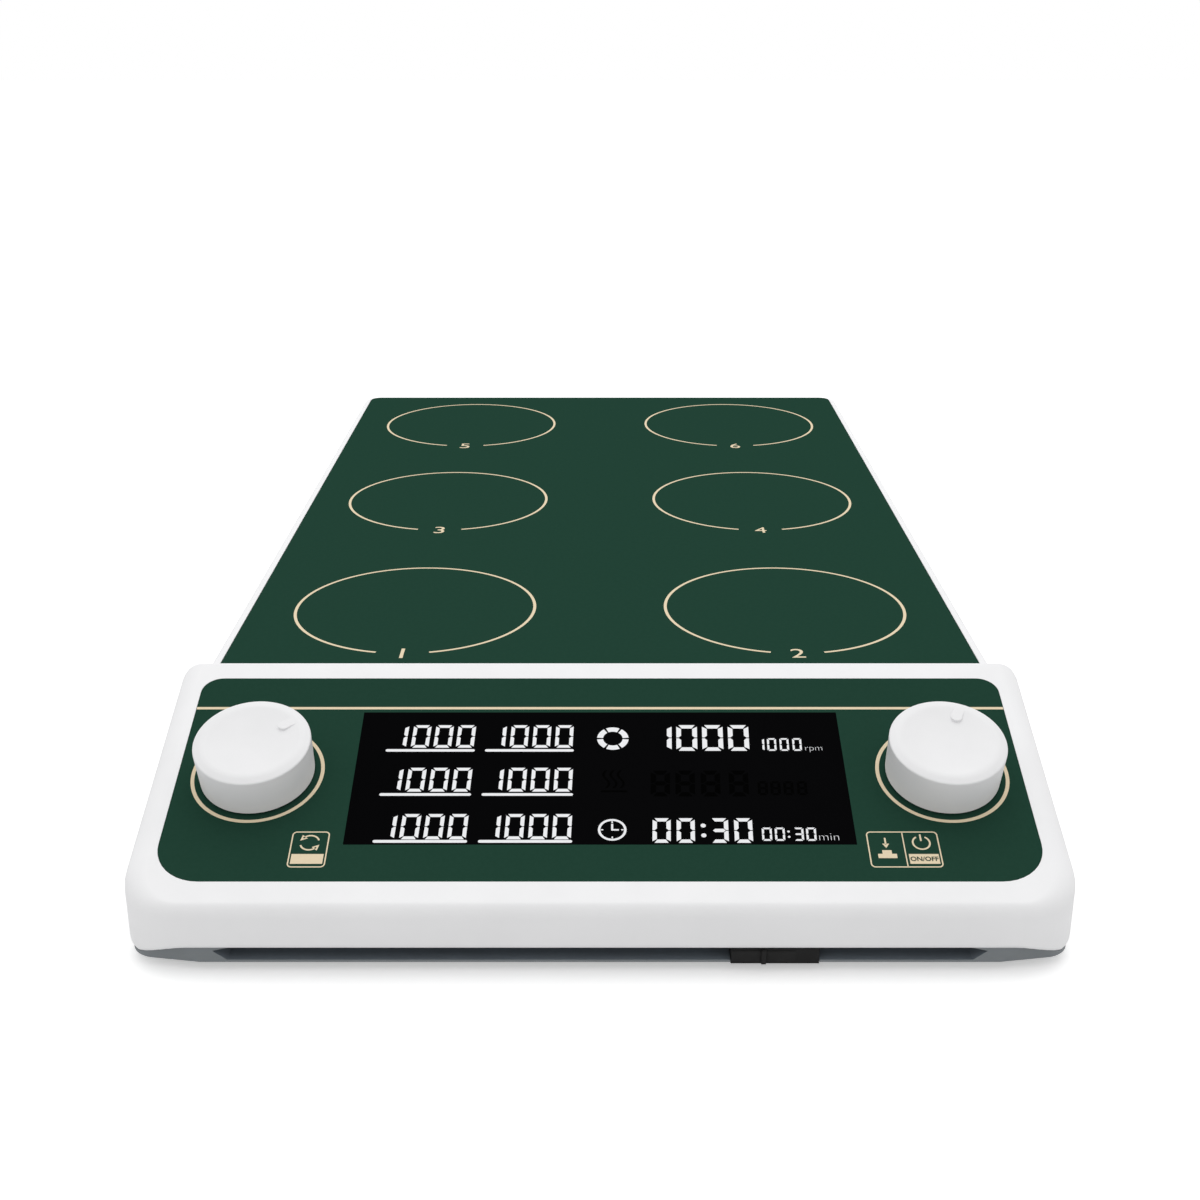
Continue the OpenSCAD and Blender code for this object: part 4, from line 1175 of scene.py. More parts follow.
@dataclass
class Base:
    """Grey base with the long front recess, its feet and its screws."""

    low: float = 3.6
    inset: float = 2.5
    run: float = 133.6
    slant: Spot = (150.5, 5.3)
    corner: float = 8.0
    deck_corner: float = 7.5
    edge: float = 0.25
    lip_in: float = 0.75
    lip_t: float = 1.75
    lip_root: float = 0.5
    lip_top: float = 11.9
    lip_corner: float = 15.0
    seam: float = 0.05
    face_rear: float = 17.0
    recess_half: float = 129.2
    recess_low_half: float = 124.5
    recess_top_half: float = 123.3
    recess_tip: float = 8.0
    recess_z: Spot = (4.6, 9.4)
    recess_rear: float = 14.5
    recess_slack: Spot = (0.1, 0.01)
    notch_x: Spot = (43.5, 73.3)
    notch_rear: float = 19.9
    foot_r: float = 10.0
    foot_round: float = 0.8
    foot_spots: tuple[Spot, ...] = ((-129.0, 38.0), (129.0, 38.0), (-115.5, 521.7), (115.5, 521.7))
    sole_rim: float = 2.4
    sole_wall: float = 0.5
    sole_depth: float = 0.6
    head_r: float = 2.8
    head_z: Spot = (3.2, 4.8)
    head_round: float = 0.5
    cross_half: Spot = (0.35, 1.7)
    cross_depth: float = 0.9
    bore_r: float = 3.0
    shank_r: float = 1.5
    shank_in: float = 0.1
    shank_top: float = 18.8

    def edge_radius(self, middle: Vector, a: Vector, b: Vector) -> float:
        """Radius of the lower outer edges."""
        wall, cap = wall_and_cap(a, b)
        return self.edge if cap.z < -ALONG and abs(wall.z) < ACROSS else 0.0

    def screw_spots(self) -> list[Spot]:
        """Places of the case screws, under the bosses of the two shells."""
        return pairs(PLAN.console_bosses + PLAN.deck_bosses)

    def plinth(self, name: str, inset: float, z: Spot, corner: float) -> Object:
        """Makes the base's plan as a solid, drawn in all round.

        Args:
            name: name of the new object.
            inset: how far it is drawn in, in millimetres.
            z: its span in height.
            corner: radius of its two front corners.

        Returns:
            The solid of the console's part and the deck's part together.
        """
        gap = self.inset + inset
        half, rear = PLAN.console_half - gap, PLAN.console_d - gap
        reach, rise = self.slant[0] - self.run, self.slant[1] - self.inset
        front = block(name, wide(half), (gap, rear), z)
        for m in (-1, 1):
            slice_off(front, (m * self.run, gap, 0.0), (m * rise, -reach, 0.0))
        bevel_where(front, upright_at(half, gap + (half - self.run) * rise / reach), corner, segments=10)
        half, rear = PLAN.deck_half - gap, PLAN.overall_d - gap
        tail = block("tail", wide(half), (PLAN.console_d / 2, rear), z)
        bevel_where(tail, upright_at(half, rear), self.deck_corner - inset, segments=8)
        carve(front, tail, how=Cut.JOIN)
        return front

    def recess(self) -> Object:
        """Makes the solid of the long front recess with its pointed ends.

        Returns:
            The solid, measured from the front edge.
        """
        z0, z1 = self.recess_z
        half, tip = self.recess_half, self.recess_tip
        tool = block("recess", wide(half), (0.0, self.recess_rear), self.recess_z)
        for m in (-1, 1):
            slice_off(tool, (m * half, 0.0, tip), (m * (tip - z0), 0.0, self.recess_low_half - half))
            slice_off(tool, (m * half, 0.0, tip), (m * (z1 - tip), 0.0, half - self.recess_top_half))
        return tool

    def lip(self) -> Object:
        """Makes the floor and the rim that stand inside the two shells.

        Returns:
            The solid, measured from the front edge.
        """
        outer_z = (PLAN.shell_low - self.lip_root, self.lip_top)
        inner_z = (PLAN.tray_floor, self.lip_top + OVER)
        rim = self.plinth("lip", self.lip_in, outer_z, self.lip_corner)
        deep, corner = self.lip_in + self.lip_t, self.lip_corner - self.lip_t
        carve(rim, self.plinth("hollow", deep, inner_z, corner))
        return rim

    def paint(self, tray: Object) -> None:
        """Gives the base its grey, and the recess faces a slightly darker, bluer copy of it as painted
        shade.

        Args:
            tray: the base, measured from the front edge.
        """
        for name in ("base_grey", "recess_shade_grey"):
            tray.data.materials.append(FINISHES[name].material())
        # the faces inside the front recess take the painted shade
        slack, skin = self.recess_slack
        for face in tray.data.polygons:
            middle = face.center / MM
            deep = self.inset + slack < middle.y < self.notch_rear + slack
            level = self.low + slack < middle.z < self.recess_z[1] + skin
            if deep and level and abs(middle.x) < self.recess_half:
                face.material_index = 1

    def build(self) -> Object:
        """Models the base and marks the faces of the recess.

        Returns:
            The base in its place.
        """
        tray = self.plinth("base_moulding", 0.0, (self.low, PLAN.arch_top), self.corner)
        soften(tray, self.edge_radius, self.edge, segments=3)
        across, height = wide(PLAN.console_half), (PLAN.shell_low, PLAN.arch_top + OVER)
        above = block("above", across, (0.0, self.face_rear + OVER), height)
        carve(above, settle(Console().arch(), Matrix.Translation((0.0, 0.0, -self.seam * MM))))
        carve(tray, block("behind", across, (self.face_rear, PLAN.overall_d), height), above)
        carve(tray, self.lip(), how=Cut.JOIN)
        notch = block("notch", self.notch_x, (-OVER, self.notch_rear), (0.0, self.recess_z[1]))
        carve(tray, self.recess(), notch)
        deep = self.head_z[1]
        spots = self.screw_spots()
        carve(tray, *(drum("bore", (x, y, 0.0), UP, self.bore_r, deep, sides=32) for x, y in spots))
        self.paint(tray)
        return bring_home(tray)

    def feet(self) -> Object:
        """Models one foot with a rounded rim and a hollowed sole, and copies it.

        Returns:
            The four feet in their places.
        """
        foot = drum("foot", (0.0, 0.0, 0.0), UP, self.foot_r, self.low)
        bevel_where(foot, level_at(0.0), self.foot_round, segments=4)
        pick(foot, Pick.FACES, lambda middle, normal: normal.z < -ALONG and near(middle.z, 0.0))
        bpy.ops.mesh.inset(thickness=self.sole_rim * MM, depth=0.0)
        bpy.ops.mesh.inset(thickness=self.sole_wall * MM, depth=-self.sole_depth * MM)
        leave_edit()
        return set_out(foot, "feet", self.foot_spots)

    def screws(self) -> Object:
        """Models one screw with a crowned head and a cross recess, and copies it.

        Returns:
            The case screws in their places.
        """
        z0, z1 = self.head_z
        screw = drum("screw", (0.0, 0.0, z0), UP, self.head_r, z1 - z0, sides=40)
        bevel_where(screw, level_at(z0), self.head_round, segments=4)
        deep, halves = (0.0, z0 + self.cross_depth), (self.cross_half, self.cross_half[::-1])
        carve(screw, *(block("slot", wide(a), wide(b), deep) for a, b in halves))
        start, run = (0.0, 0.0, z1 - self.shank_in), self.shank_top - z1
        carve(screw, drum("shank", start, UP, self.shank_r, run, sides=24), how=Cut.JOIN)
        return set_out(screw, "case_screws", self.screw_spots())

    def dress(self) -> None:
        """Builds the base, its feet and its screws, and hands them over."""
        hand_over(self.build(), "housing", "base_grey", "base_tray")
        hand_over(self.feet(), "housing", "seal_rubber", "rubber_feet")
        hand_over(self.screws(), "housing", "plated_steel", "housing_screws")


@dataclass
class Plate:
    """Green plate with its printed ring marks and numbers."""

    half: float = 146.5
    thickness: float = 3.0
    ends: Spot = (113.7, 552.7)
    corner: float = 6.0
    edge: float = 0.5
    ring_r: float = 50.0
    ring_line: float = 1.25
    ring_gap: float = 21.0
    figure: Spot = (5.5, 9.6)

    def build(self) -> Object:
        """Models the plate with rounded rear corners and a softened upper edge.

        Returns:
            The plate in its place.
        """
        top = PLAN.plate_top
        plate = block("stirring_plate", wide(self.half), self.ends, (top - self.thickness, top))
        bevel_where(plate, upright_at(self.half, self.ends[1]), self.corner, segments=8)
        bevel_where(plate, level_at(top), self.edge, segments=3)
        return bring_home(plate)

    def marks(self) -> Object:
        """Prints an open ring and a number for each stirring place.

        Returns:
            The prints in their places.
        """
        gap = math.degrees(math.asin(self.ring_gap / 2 / self.ring_r))
        start, end = -90.0 + gap, 270.0 - gap
        rings = [band(spot, self.ring_r, self.ring_line, start, end, steps=160) for spot in PLAN.stations()]
        prints = [flat_piece("station_marks", rings, PLAN.plate())]
        width, height = self.figure
        for number, (x, y) in enumerate(PLAN.stations(), 1):
            across, along = around(x, width), around(y - self.ring_r, height)
            prints.append(lettering(f"station_figure_{number}", str(number), across, along, PLAN.plate()))
        return fuse("station_marks", prints)

    def dress(self) -> None:
        """Builds the plate and its marks, and hands them over."""
        hand_over(self.build(), "housing", "plate_green", "top_plate")
        hand_over(self.marks(), "housing", "ink_cream", slot=False)


# Controls


@dataclass
class Knob:
    """Round push-and-turn knob with a dished top and a raised pointer.

    The turns are the pointers' angles in degrees, clockwise from straight up the slope.
    """

    low: float = 1.0
    top: float = 17.0
    sides: int = 160
    low_r: float = 20.25
    rim_r: float = 20.6
    rim_drop: float = 1.1
    rim_edge: float = 0.5
    dish_r: float = 17.5
    dish_edge: float = 1.2
    dish_depth: float = 1.6
    dish_steps: int = 9
    wall: float = 2.2
    cap_t: float = 2.8
    hub_r: float = 6.0
    hub_low: float = 6.0
    hub_in: float = 0.4
    bore_r: float = 3.02
    pointer_w: float = 4.0
    pointer_r: float = 10.5
    pointer_t: float = 1.6
    pointer_top: float = 16.9
    pointer_past: float = 0.2
    pointer_edge: float = 0.3
    pointer_gap: float = 0.01
    crisp: float = 25.0
    turns: tuple[tuple[Side, float], ...] = ((Side.LEFT, 54.0), (Side.RIGHT, 22.5))

    def body(self) -> Object:
        """Models the round body: taper, sloping rim, dished top and hollow underside.

        Returns:
            The body with its axis on z.
        """
        shoulder = self.top - self.rim_drop
        knob = drum("knob", (0.0, 0.0, self.low), UP, self.rim_r, shoulder - self.low, self.sides)
        pick(knob, Pick.EDGES, level_at(self.low))
        taper = self.low_r / self.rim_r
        bpy.ops.transform.resize(value=(taper, taper, 1.0), center_override=(0.0, 0.0, self.low * MM))
        leave_edit()
        pick(knob, Pick.FACES, lambda middle, normal: normal.z > ALONG)
        bpy.ops.mesh.inset(thickness=(self.rim_r - self.dish_r) * MM, depth=self.rim_drop * MM)
        for step in range(self.dish_steps):
            outer, inner = (1.0 - (step + k) / (self.dish_steps + 1) for k in (0, 1))
            drop = self.dish_depth * (outer**2 - inner**2)
            bpy.ops.mesh.inset(thickness=self.dish_r * (outer - inner) * MM, depth=-drop * MM)
        leave_edit()
        bevel_where(knob, level_at(self.top), self.dish_edge, segments=6)
        bevel_where(knob, level_at(shoulder), self.rim_edge, segments=4)
        pick(knob, Pick.FACES, lambda middle, normal: normal.z < -ALONG)
        bpy.ops.mesh.inset(thickness=self.wall * MM, depth=0.0)
        rise = self.top - self.low - self.cap_t
        bpy.ops.mesh.extrude_region_move(TRANSFORM_OT_translate={"value": (0.0, 0.0, rise * MM)})
        leave_edit()
        return knob

    def pointer(self) -> Object:
        """Models the tongue that runs in from the rim, round at its inner end.

        Returns:
            The tongue along y.
        """
        half, top = self.pointer_w / 2, self.pointer_top
        run = (self.pointer_r, self.dish_r + self.pointer_past)
        tongue = block("tongue", wide(half), run, (top - self.pointer_t, top))
        bevel_where(tongue, upright_at(half, self.pointer_r), half - self.pointer_gap, segments=8)
        bevel_where(tongue, level_at(top), self.pointer_edge, segments=3)
        return tongue

    def build(self) -> Object:
        """Models the whole knob with its axis on z and its pointer along y.

        Returns:
            The knob.
        """
        ceiling = self.top - self.cap_t
        knob = self.body()
        start, run = (0.0, 0.0, self.hub_low), ceiling + self.hub_in - self.hub_low
        carve(knob, self.pointer(), drum("hub", start, UP, self.hub_r, run, sides=48), how=Cut.JOIN)
        carve(knob, drum("bore", (0.0, 0.0, 0.0), UP, self.bore_r, ceiling - self.hub_in, sides=32))
        shade(knob, self.crisp)
        return knob

    def dress(self) -> None:
        """Builds the knob once, sets a copy on each side and hands them over."""
        knob = self.build()
        for side, turn in self.turns:
            word = side.name.lower()
            copy = settle(twin(knob, f"{word}_dial_knob"), PLAN.knob(side, turn))
            hand_over(copy, f"{word}_dial", "knob_white", f"{word}_knob")
        bpy.data.meshes.remove(knob.data)


@dataclass
class PowerSwitch:
    """Black slide switch in the front recess; each solid has its spans in x, y and z."""

    case: Spans = ((43.6, 73.2), (2.3, 19.8), (3.1, 9.3))
    case_edge: float = 0.35
    slot: Spans = ((51.7, 65.1), (0.0, 8.3), (4.9, 7.5))
    rib: Spans = ((53.7, 55.3), (0.8, 2.1), (3.7, 9.0))
    rib_edge: float = 0.3
    stem: Spans = ((52.0, 57.0), (2.1, 8.0), (5.0, 7.4))
    shutter: Spans = ((43.8, 65.2), (2.04, 2.24), (4.2, 8.2))

    def body(self) -> Object:
        """Models the body with softened front edges and the slot that the slide runs in.

        Returns:
            The body in its place.
        """
        body = block("switch_housing", *self.case)
        bevel_where(body, front_at(self.case[1][0]), self.case_edge, segments=3)
        carve(body, block("slot", *self.slot))
        return bring_home(body)

    def slide(self) -> Object:
        """Models the slide: an upright rib on a stem, with a thin shutter over the slot.

        Returns:
            The slide in its place.
        """
        rib = block("switch_slide", *self.rib)
        bevel_where(rib, front_at(self.rib[1][0]), self.rib_edge, segments=3)
        carve(rib, block("stem", *self.stem), block("shutter", *self.shutter), how=Cut.JOIN)
        return bring_home(rib)

    def dress(self) -> None:
        """Builds the switch and hands it over."""
        hand_over(self.body(), "housing", "switch_black", "power_switch_body")
        hand_over(self.slide(), "power_slide", "slide_grey", "power_slider")


@dataclass
class PanelPrint:
    """Cream lines and signs printed on the sloping film."""

    line_s: float = 83.0
    line_half: float = 150.4
    line_w: float = 1.25
    ring_r: float = 23.0
    ring_line: float = 1.3
    box_line: float = 0.45
    box_round: float = 1.6
    box_s: Spot = (6.0, 22.0)
    left_box: Spot = (-105.5, -92.6)
    right_box: Spot = (91.2, 115.7)
    divider: float = 103.6
    divider_w: float = 0.4
    divider_in: float = 0.6
    bar_s: Spot = (7.6, 11.9)
    bar_in: float = 1.0
    word_in: float = 0.3
    word_thin: float = -0.02
    sign_line: float = 0.6
    arrow_r: float = 3.2
    arrow_starts: Spot = (20.0, 200.0)
    arrow_sweep: float = 120.0
    tip_r: float = 1.5
    tip_turns: Point = (0.0, 2.2, -2.2)
    key: tuple[Spot, ...] = (
        (-3.2, -3.9), (3.2, -3.9), (3.2, -2.0), (1.6, -2.0),
        (1.6, -0.4), (-1.6, -0.4), (-1.6, -2.0), (-3.2, -2.0),
    )
    press: Spot = (4.9, 2.4)
    press_tip: tuple[Spot, ...] = ((-1.2, 2.5), (1.2, 2.5), (0.0, 0.6))
    power_r: float = 2.9
    power_sweep: Spot = (120.0, 420.0)
    power_bar: Spot = (1.0, 3.5)

    def lines(self) -> list[Loop]:
        """Draws the cross line and the ring round each knob.

        Returns:
            Their outlines.
        """
        loops = [rect(wide(self.line_half), around(self.line_s, self.line_w))]
        for spot in PLAN.knob_spots():
            loops += hoop(spot, self.ring_r, self.ring_line, steps=144)
        return loops

    def bar(self, x: Spot) -> Loop:
        """Outline of the filled bar at the foot of a box."""
        return rect(drawn_in(x, self.bar_in), self.bar_s)

    def sign_s(self) -> float:
        """Middle height of the room over a bar."""
        return (self.bar_s[1] + self.box_s[1]) / 2

    def left_sign(self) -> list[Loop]:
        """Draws the left box: turning arrows over a filled bar.

        Returns:
            Their outlines.
        """
        middle = (sum(self.left_box) / 2, self.sign_s())
        loops = framed(self.left_box, self.box_s, self.box_round, self.box_line)
        loops.append(self.bar(self.left_box))
        for start in self.arrow_starts:
            end = start + self.arrow_sweep
            loops.append(band(middle, self.arrow_r, self.sign_line, start, end, steps=20))
            tip, ahead = on_circle(middle, self.arrow_r, math.radians(end)), math.radians(end) + math.pi / 2
            loops.append([on_circle(tip, self.tip_r, ahead + turn) for turn in self.tip_turns])
        return loops

    def right_sign(self) -> list[Loop]:
        """Draws the right box: a pressed key, and a power sign over a filled bar.

        Returns:
            Their outlines.
        """
        left, right = self.right_box
        loops = framed(self.right_box, self.box_s, self.box_round, self.box_line)
        loops.append(rect(around(self.divider, self.divider_w), drawn_in(self.box_s, self.divider_in)))
        key = ((left + self.divider) / 2, sum(self.box_s) / 2)
        loops.append(moved(self.key, key))
        loops.append(stroke(*((key[0], key[1] + s) for s in self.press), self.sign_line))
        loops.append(moved(self.press_tip, key))
        power = ((self.divider + right) / 2, self.sign_s())
        loops.append(band(power, self.power_r, self.sign_line, *self.power_sweep, steps=40))
        loops.append(stroke(*((power[0], power[1] + s) for s in self.power_bar), self.sign_line))
        loops.append(self.bar((self.divider, right)))
        return loops

    def dress(self) -> None:
        """Prints the lines and signs and hands them over."""
        ink = flat_piece("panel_print", self.lines() + self.left_sign() + self.right_sign(), PLAN.panel())
        hand_over(ink, "housing", "ink_cream", slot=False)
        raised = PLAN.panel() @ Matrix.Translation((0.0, 0.0, PRINT_T * MM))
        x = drawn_in((self.divider, self.right_box[1]), self.bar_in + self.word_in)
        y = drawn_in(self.bar_s, self.word_in)
        words = lettering("panel_figures", "ON/OFF", x, y, raised, self.word_thin)
        hand_over(words, "housing", "ink_dark", slot=False)


@dataclass(frozen=True)
class Row:
    """Seven-segment figures of one size: their foot, size and line, and the left end of each."""

    low: float
    height: float
    width: float
    line: float
    signs: str
    lefts: tuple[float, ...]


@dataclass
class Display:
    """Lit figures and signs of the display, on the face of the black lens."""

    drop: float = 0.15
    slant: float = 0.03
    gap: float = 0.13
    notch: float = 0.35
    thin: float = 0.025
    speed_s: Point = (62.5, 40.8, 18.6)
    speed_size: Point = (11.6, 6.8, 1.35)
    speed_right: Spot = (-45.6, -9.65)
    speed_pitch: float = 8.2
    speed_signs: str = "0001"
    rule_s: Point = (61.15, 39.45, 17.7)
    rule_x: tuple[Spot, Spot] = ((-77.7, -45.4), (-41.7, -9.5))
    rule_w: float = 1.25
    dial: Spot = (4.7, 67.2)
    dial_r: float = 4.65
    dial_line: float = 2.2
    dial_parts: int = 6
    dial_gap: float = 4.5
    targets: tuple[Row, ...] = (
        Row(60.95, 13.2, 8.0, 1.75, "1000", (18.4, 27.7, 37.15, 46.6)),
        Row(60.95, 6.4, 3.5, 0.75, "1000", (56.4, 60.75, 65.3, 69.95)),
    )
    clock: Spot = (4.2, 22.95)
    clock_r: float = 4.5
    clock_line: float = 0.85
    hands: tuple[Spot, ...] = (
        (-0.35, -0.35), (2.3, -0.35), (2.3, 0.3), (0.35, 0.3), (0.35, 2.7), (-0.35, 2.7)
    )
    ticks: Spot = (3.3, 3.7)
    tick_line: float = 0.5
    times: tuple[Row, ...] = (
        Row(17.05, 11.2, 6.6, 1.5, "0003", (17.9, 26.2, 46.05, 37.75)),
        Row(17.95, 6.0, 3.6, 0.75, "0003", (55.5, 59.95, 70.7, 66.4)),
    )
    colons: Spot = (35.6, 64.8)
    colon_shares: Spot = (0.3, 0.7)
    colon_r: float = 0.6
    idles: tuple[Row, ...] = (
        Row(38.6, 12.4, 7.2, 1.9, "8888", (17.8, 26.6, 35.6, 45.6)),
        Row(39.2, 6.6, 3.7, 0.95, "8888", (55.7, 60.2, 64.8, 69.6)),
    )
    heat_x: Point = (2.2, 4.8, 7.4)
    heat_s: Spot = (42.6, 8.6)
    heat_half: float = 0.4
    heat_steps: int = 16
    heat_foot: tuple[Spot, Spot] = ((0.7, 41.0), (9.2, 41.0))
    units: tuple[tuple[str, str, Spot, Spot], ...] = (
        ("lit_unit_speed", "rpm", (74.5, 80.6), (59.7, 63.4)),
        ("lit_unit_time", "min", (75.1, 81.8), (18.0, 21.5)),
    )

    LIT = {"0": "abcdef", "1": "bc", "3": "abcdg", "8": "abcdefg"}

    def segments(self, row: Row) -> dict[str, Loop]:
        """Draws the seven segments of a figure, upright and from its own corner.

        Args:
            row: the row that gives its size.

        Returns:
            The outline of each segment by its usual letter.
        """
        w, h, t, e = row.width - self.slant * row.height, row.height, row.line, self.gap * row.line
        c, mid = self.notch * t, h / 2
        cap = [(c + e, h), (w - c - e, h), (w - t - e, h - t), (t + e, h - t)]
        post = [(0.0, h - c - e), (t, h - t - e), (t, mid + t / 2 + e), (t / 2, mid + e), (0.0, mid + e)]
        bar = [(t / 2 + e, mid), (t + e, mid + t / 2), (w - t - e, mid + t / 2)]
        bar += [(w - t / 2 - e, mid), (w - t - e, mid - t / 2), (t + e, mid - t / 2)]
        return {
            "a": cap,
            "b": [(w - x, y) for x, y in post],
            "c": [(w - x, h - y) for x, y in post],
            "d": [(x, h - y) for x, y in cap],
            "e": [(x, h - y) for x, y in post],
            "f": post,
            "g": bar,
        }

    def figures(self, row: Row) -> list[Loop]:
        """Draws a row of figures, leaning a little to the right.

        Args:
            row: the row.

        Returns:
            One outline for each segment that is lit.
        """
        shapes = self.segments(row)
        lit = [(left, shapes[k]) for sign, left in zip(row.signs, row.lefts) for k in self.LIT[sign]]
        return [[(left + x + self.slant * y, row.low + y) for x, y in shape] for left, shape in lit]

    def speeds(self) -> list[Loop]:
        """Draws the six speeds and the rule under each.

        Returns:
            Their outlines.
        """
        height, width, line = self.speed_size
        loops: list[Loop] = []
        for low, rule in zip(self.speed_s, self.rule_s):
            for right, span in zip(self.speed_right, self.rule_x):
                lefts = tuple(right - width - k * self.speed_pitch for k in range(len(self.speed_signs)))
                loops += self.figures(Row(low, height, width, line, self.speed_signs, lefts))
                start, end = drawn_in(span, self.rule_w / 2)
                loops.append(stroke((start, rule), (end, rule), self.rule_w))
        return loops

    def target_speed(self) -> list[Loop]:
        """Draws the speed sign with the set speed, large, and the actual speed, small.

        Returns:
            Their outlines.
        """
        step = 360 // self.dial_parts
        sweeps = [drawn_in((step * k, step * (k + 1)), self.dial_gap) for k in range(self.dial_parts)]
        loops = [band(self.dial, self.dial_r, self.dial_line, *sweep, steps=14) for sweep in sweeps]
        for row in self.targets:
            loops += self.figures(row)
        return loops

    def timer(self) -> list[Loop]:
        """Draws the clock sign with the set time, large, and the remaining time, small.

        Returns:
            Their outlines.
        """
        loops = hoop(self.clock, self.clock_r, self.clock_line, steps=64)
        loops.append(moved(self.hands, self.clock))
        for turn in range(0, 360, 90):
            ends = [on_circle(self.clock, r, math.radians(turn)) for r in self.ticks]
            loops.append(stroke(*ends, self.tick_line))
        for row, x in zip(self.times, self.colons):
            loops += self.figures(row)
            dots = [(x, row.low + share * row.height) for share in self.colon_shares]
            loops += [disc(dot, self.colon_r * row.line, steps=20) for dot in dots]
        return loops

    def idle(self) -> list[Loop]:
        """Draws the segments of the row that is not lit.

        Returns:
            Their outlines.
        """
        loops = [loop for row in self.idles for loop in self.figures(row)]
        foot, height = self.heat_s
        shares = [k / self.heat_steps for k in range(self.heat_steps + 1)]
        for x in self.heat_x:
            wave = [(x + math.sin(2 * math.pi * share), foot + height * share) for share in shares]
            left, right = ([(a + m * self.heat_half, s) for a, s in wave] for m in (-1, 1))
            loops.append(left + right[::-1])
        loops.append(stroke(*self.heat_foot, 2 * self.heat_half))
        return loops

    def dress(self) -> None:
        """Draws everything the display shows and hands it over."""
        face = PLAN.panel() @ Matrix.Translation((0.0, -self.drop * MM, 0.0))
        lit = [flat_piece("lit_figures", self.speeds() + self.target_speed() + self.timer(), face)]
        lit += [lettering(name, word, x, y, face, self.thin) for name, word, x, y in self.units]
        hand_over(fuse("lit_figures", lit), "housing", "segment_lit", slot=False)
        hand_over(flat_piece("idle_figures", self.idle(), face), "housing", "segment_idle", slot=False)


# Studio


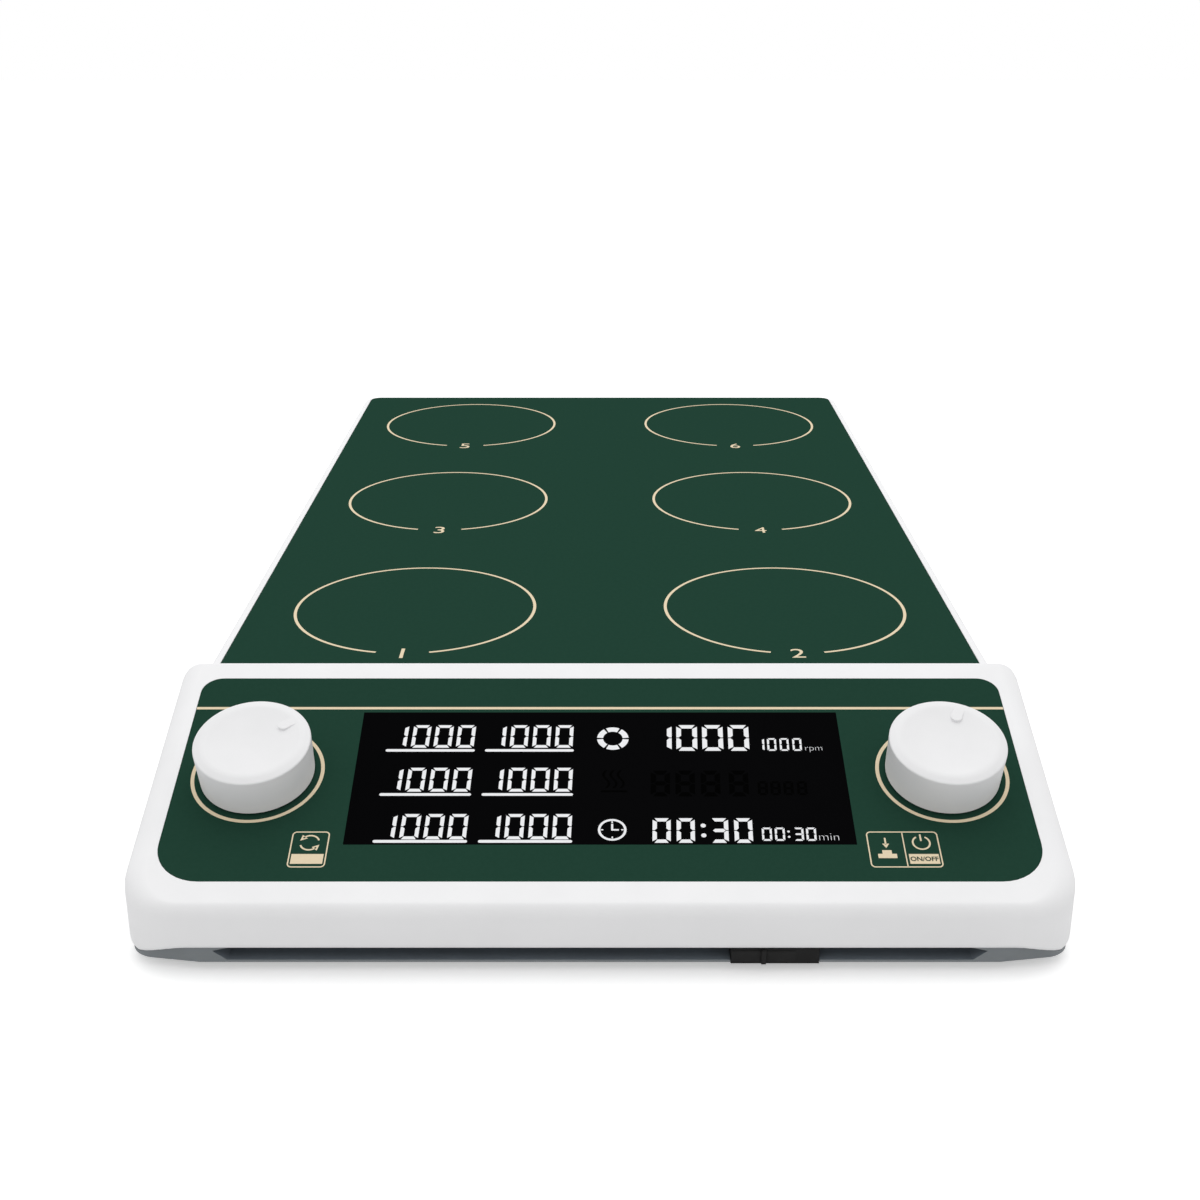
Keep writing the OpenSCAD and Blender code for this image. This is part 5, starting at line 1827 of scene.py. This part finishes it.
@dataclass
class Studio:
    """Pale floor, soft light from above and the camera, in metres."""

    floor_half: float = 6.0
    floor_colour: RGB = (236, 236, 236)
    floor_glow: float = 0.42
    sky_top: float = 0.9
    sky_side: float = 0.46
    sky_flank: float = 0.45
    lamp_size: float = 2.4
    lamp_place: Point = (0.0, 0.8, 2.25)
    lamp_power: float = 17.0
    eye: Point = (0.0, -0.73045, 0.3042)
    pitch: float = 20.647
    lens: float = 47.73
    sensor: float = 36.0
    clip: float = 0.01

    def floor(self) -> None:
        """Lays the floor; it keeps the object's shadow and fades into the white background."""
        bpy.ops.object.select_all(action="DESELECT")
        bpy.ops.mesh.primitive_plane_add(size=2 * self.floor_half, location=(0.0, 0.0, 0.0))
        floor = bpy.context.object
        floor.name = "floor"
        made = bpy.data.materials.new("floor_pale")
        made.use_nodes = True
        tree = made.node_tree
        tree.nodes.clear()
        lit = add_node(tree, "ShaderNodeBsdfDiffuse", {"Color": linear(self.floor_colour)})
        path = tree.nodes.new("ShaderNodeLightPath")
        strength = add_math(tree, "MULTIPLY", path.outputs["Is Camera Ray"], self.floor_glow)
        glow = add_node(tree, "ShaderNodeEmission", {"Strength": strength})
        both = add_node(tree, "ShaderNodeAddShader", {0: lit.outputs["BSDF"], 1: glow.outputs["Emission"]})
        add_node(tree, "ShaderNodeOutputMaterial", {"Surface": both.outputs["Shader"]})
        floor.data.materials.append(made)

    def sky(self) -> None:
        """Sets a soft surround, brighter overhead and at the sides, and white where it is seen directly."""
        world = bpy.data.worlds.new("studio")
        bpy.context.scene.world = world
        world.use_nodes = True
        tree = world.node_tree
        tree.nodes.clear()
        place = tree.nodes.new("ShaderNodeTexCoord")
        split = add_node(tree, "ShaderNodeSeparateXYZ", {"Vector": place.outputs["Generated"]})
        ramp = add_node(tree, "ShaderNodeValToRGB", {"Fac": split.outputs["Z"]})
        for stop, grey in zip(ramp.color_ramp.elements, (self.sky_side, self.sky_top)):
            stop.color = (grey, grey, grey, 1.0)
        flank = add_math(tree, "MULTIPLY", split.outputs["X"], split.outputs["X"])
        level = add_math(tree, "MULTIPLY_ADD", flank, self.sky_flank, 1.0)
        soft = add_node(tree, "ShaderNodeBackground", {"Color": ramp.outputs["Color"], "Strength": level})
        white = add_node(tree, "ShaderNodeBackground", {"Color": (1.0, 1.0, 1.0, 1.0)})
        rays = tree.nodes.new("ShaderNodeLightPath").outputs
        mirrored = add_math(tree, "ADD", rays["Is Glossy Ray"], rays["Is Transmission Ray"])
        seen = add_math(tree, "ADD", rays["Is Camera Ray"], mirrored)
        seen.node.use_clamp = True
        lights = {"Fac": seen, 1: soft.outputs["Background"], 2: white.outputs["Background"]}
        mix = add_node(tree, "ShaderNodeMixShader", lights)
        add_node(tree, "ShaderNodeOutputWorld", {"Surface": mix.outputs["Shader"]})

    def lamp(self) -> None:
        """Hangs one large soft lamp above the object and a little behind it."""
        data = bpy.data.lights.new("soft_lamp", "AREA")
        data.shape = "SQUARE"
        data.size = self.lamp_size
        data.energy = self.lamp_power
        lamp = place_new("soft_lamp", data)
        lamp.location = self.lamp_place
        lamp.rotation_euler = Vector(self.lamp_place).to_track_quat("Z", "Y").to_euler()

    def camera(self) -> None:
        """Sets the camera at the photograph's viewing angle."""
        data = bpy.data.cameras.new("camera")
        data.lens = self.lens
        data.sensor_width = self.sensor
        data.clip_start = self.clip
        camera = place_new("camera", data)
        camera.location = self.eye
        camera.rotation_euler = (math.radians(90.0 - self.pitch), 0.0, 0.0)
        bpy.context.scene.camera = camera

    def dress(self) -> None:
        """Sets floor, light and camera."""
        self.floor()
        self.sky()
        self.lamp()
        self.camera()
        bpy.context.scene.view_settings.view_transform = "Standard"


def dress_frame_nodes() -> None:
    """Gives every solid of the frame the finish of its material slot."""
    for part in frame["record"]["subparts"]:
        node = frame["nodes"][part["node"]]
        node.data.materials.clear()
        node.data.materials.append(FINISHES[part["material_slot"]].material())
        LOG.info("%s: finish %s", part["node"], part["material_slot"])


def main() -> None:
    """Builds every piece in order and sets the studio."""
    logging.basicConfig(level=logging.INFO, format="%(message)s")
    Studio().dress()
    dress_frame_nodes()
    for assembly in (Console(), Deck(), Base(), Plate(), Knob(), PowerSwitch(), PanelPrint(), Display()):
        assembly.dress()


if __name__ == "__main__":
    main()
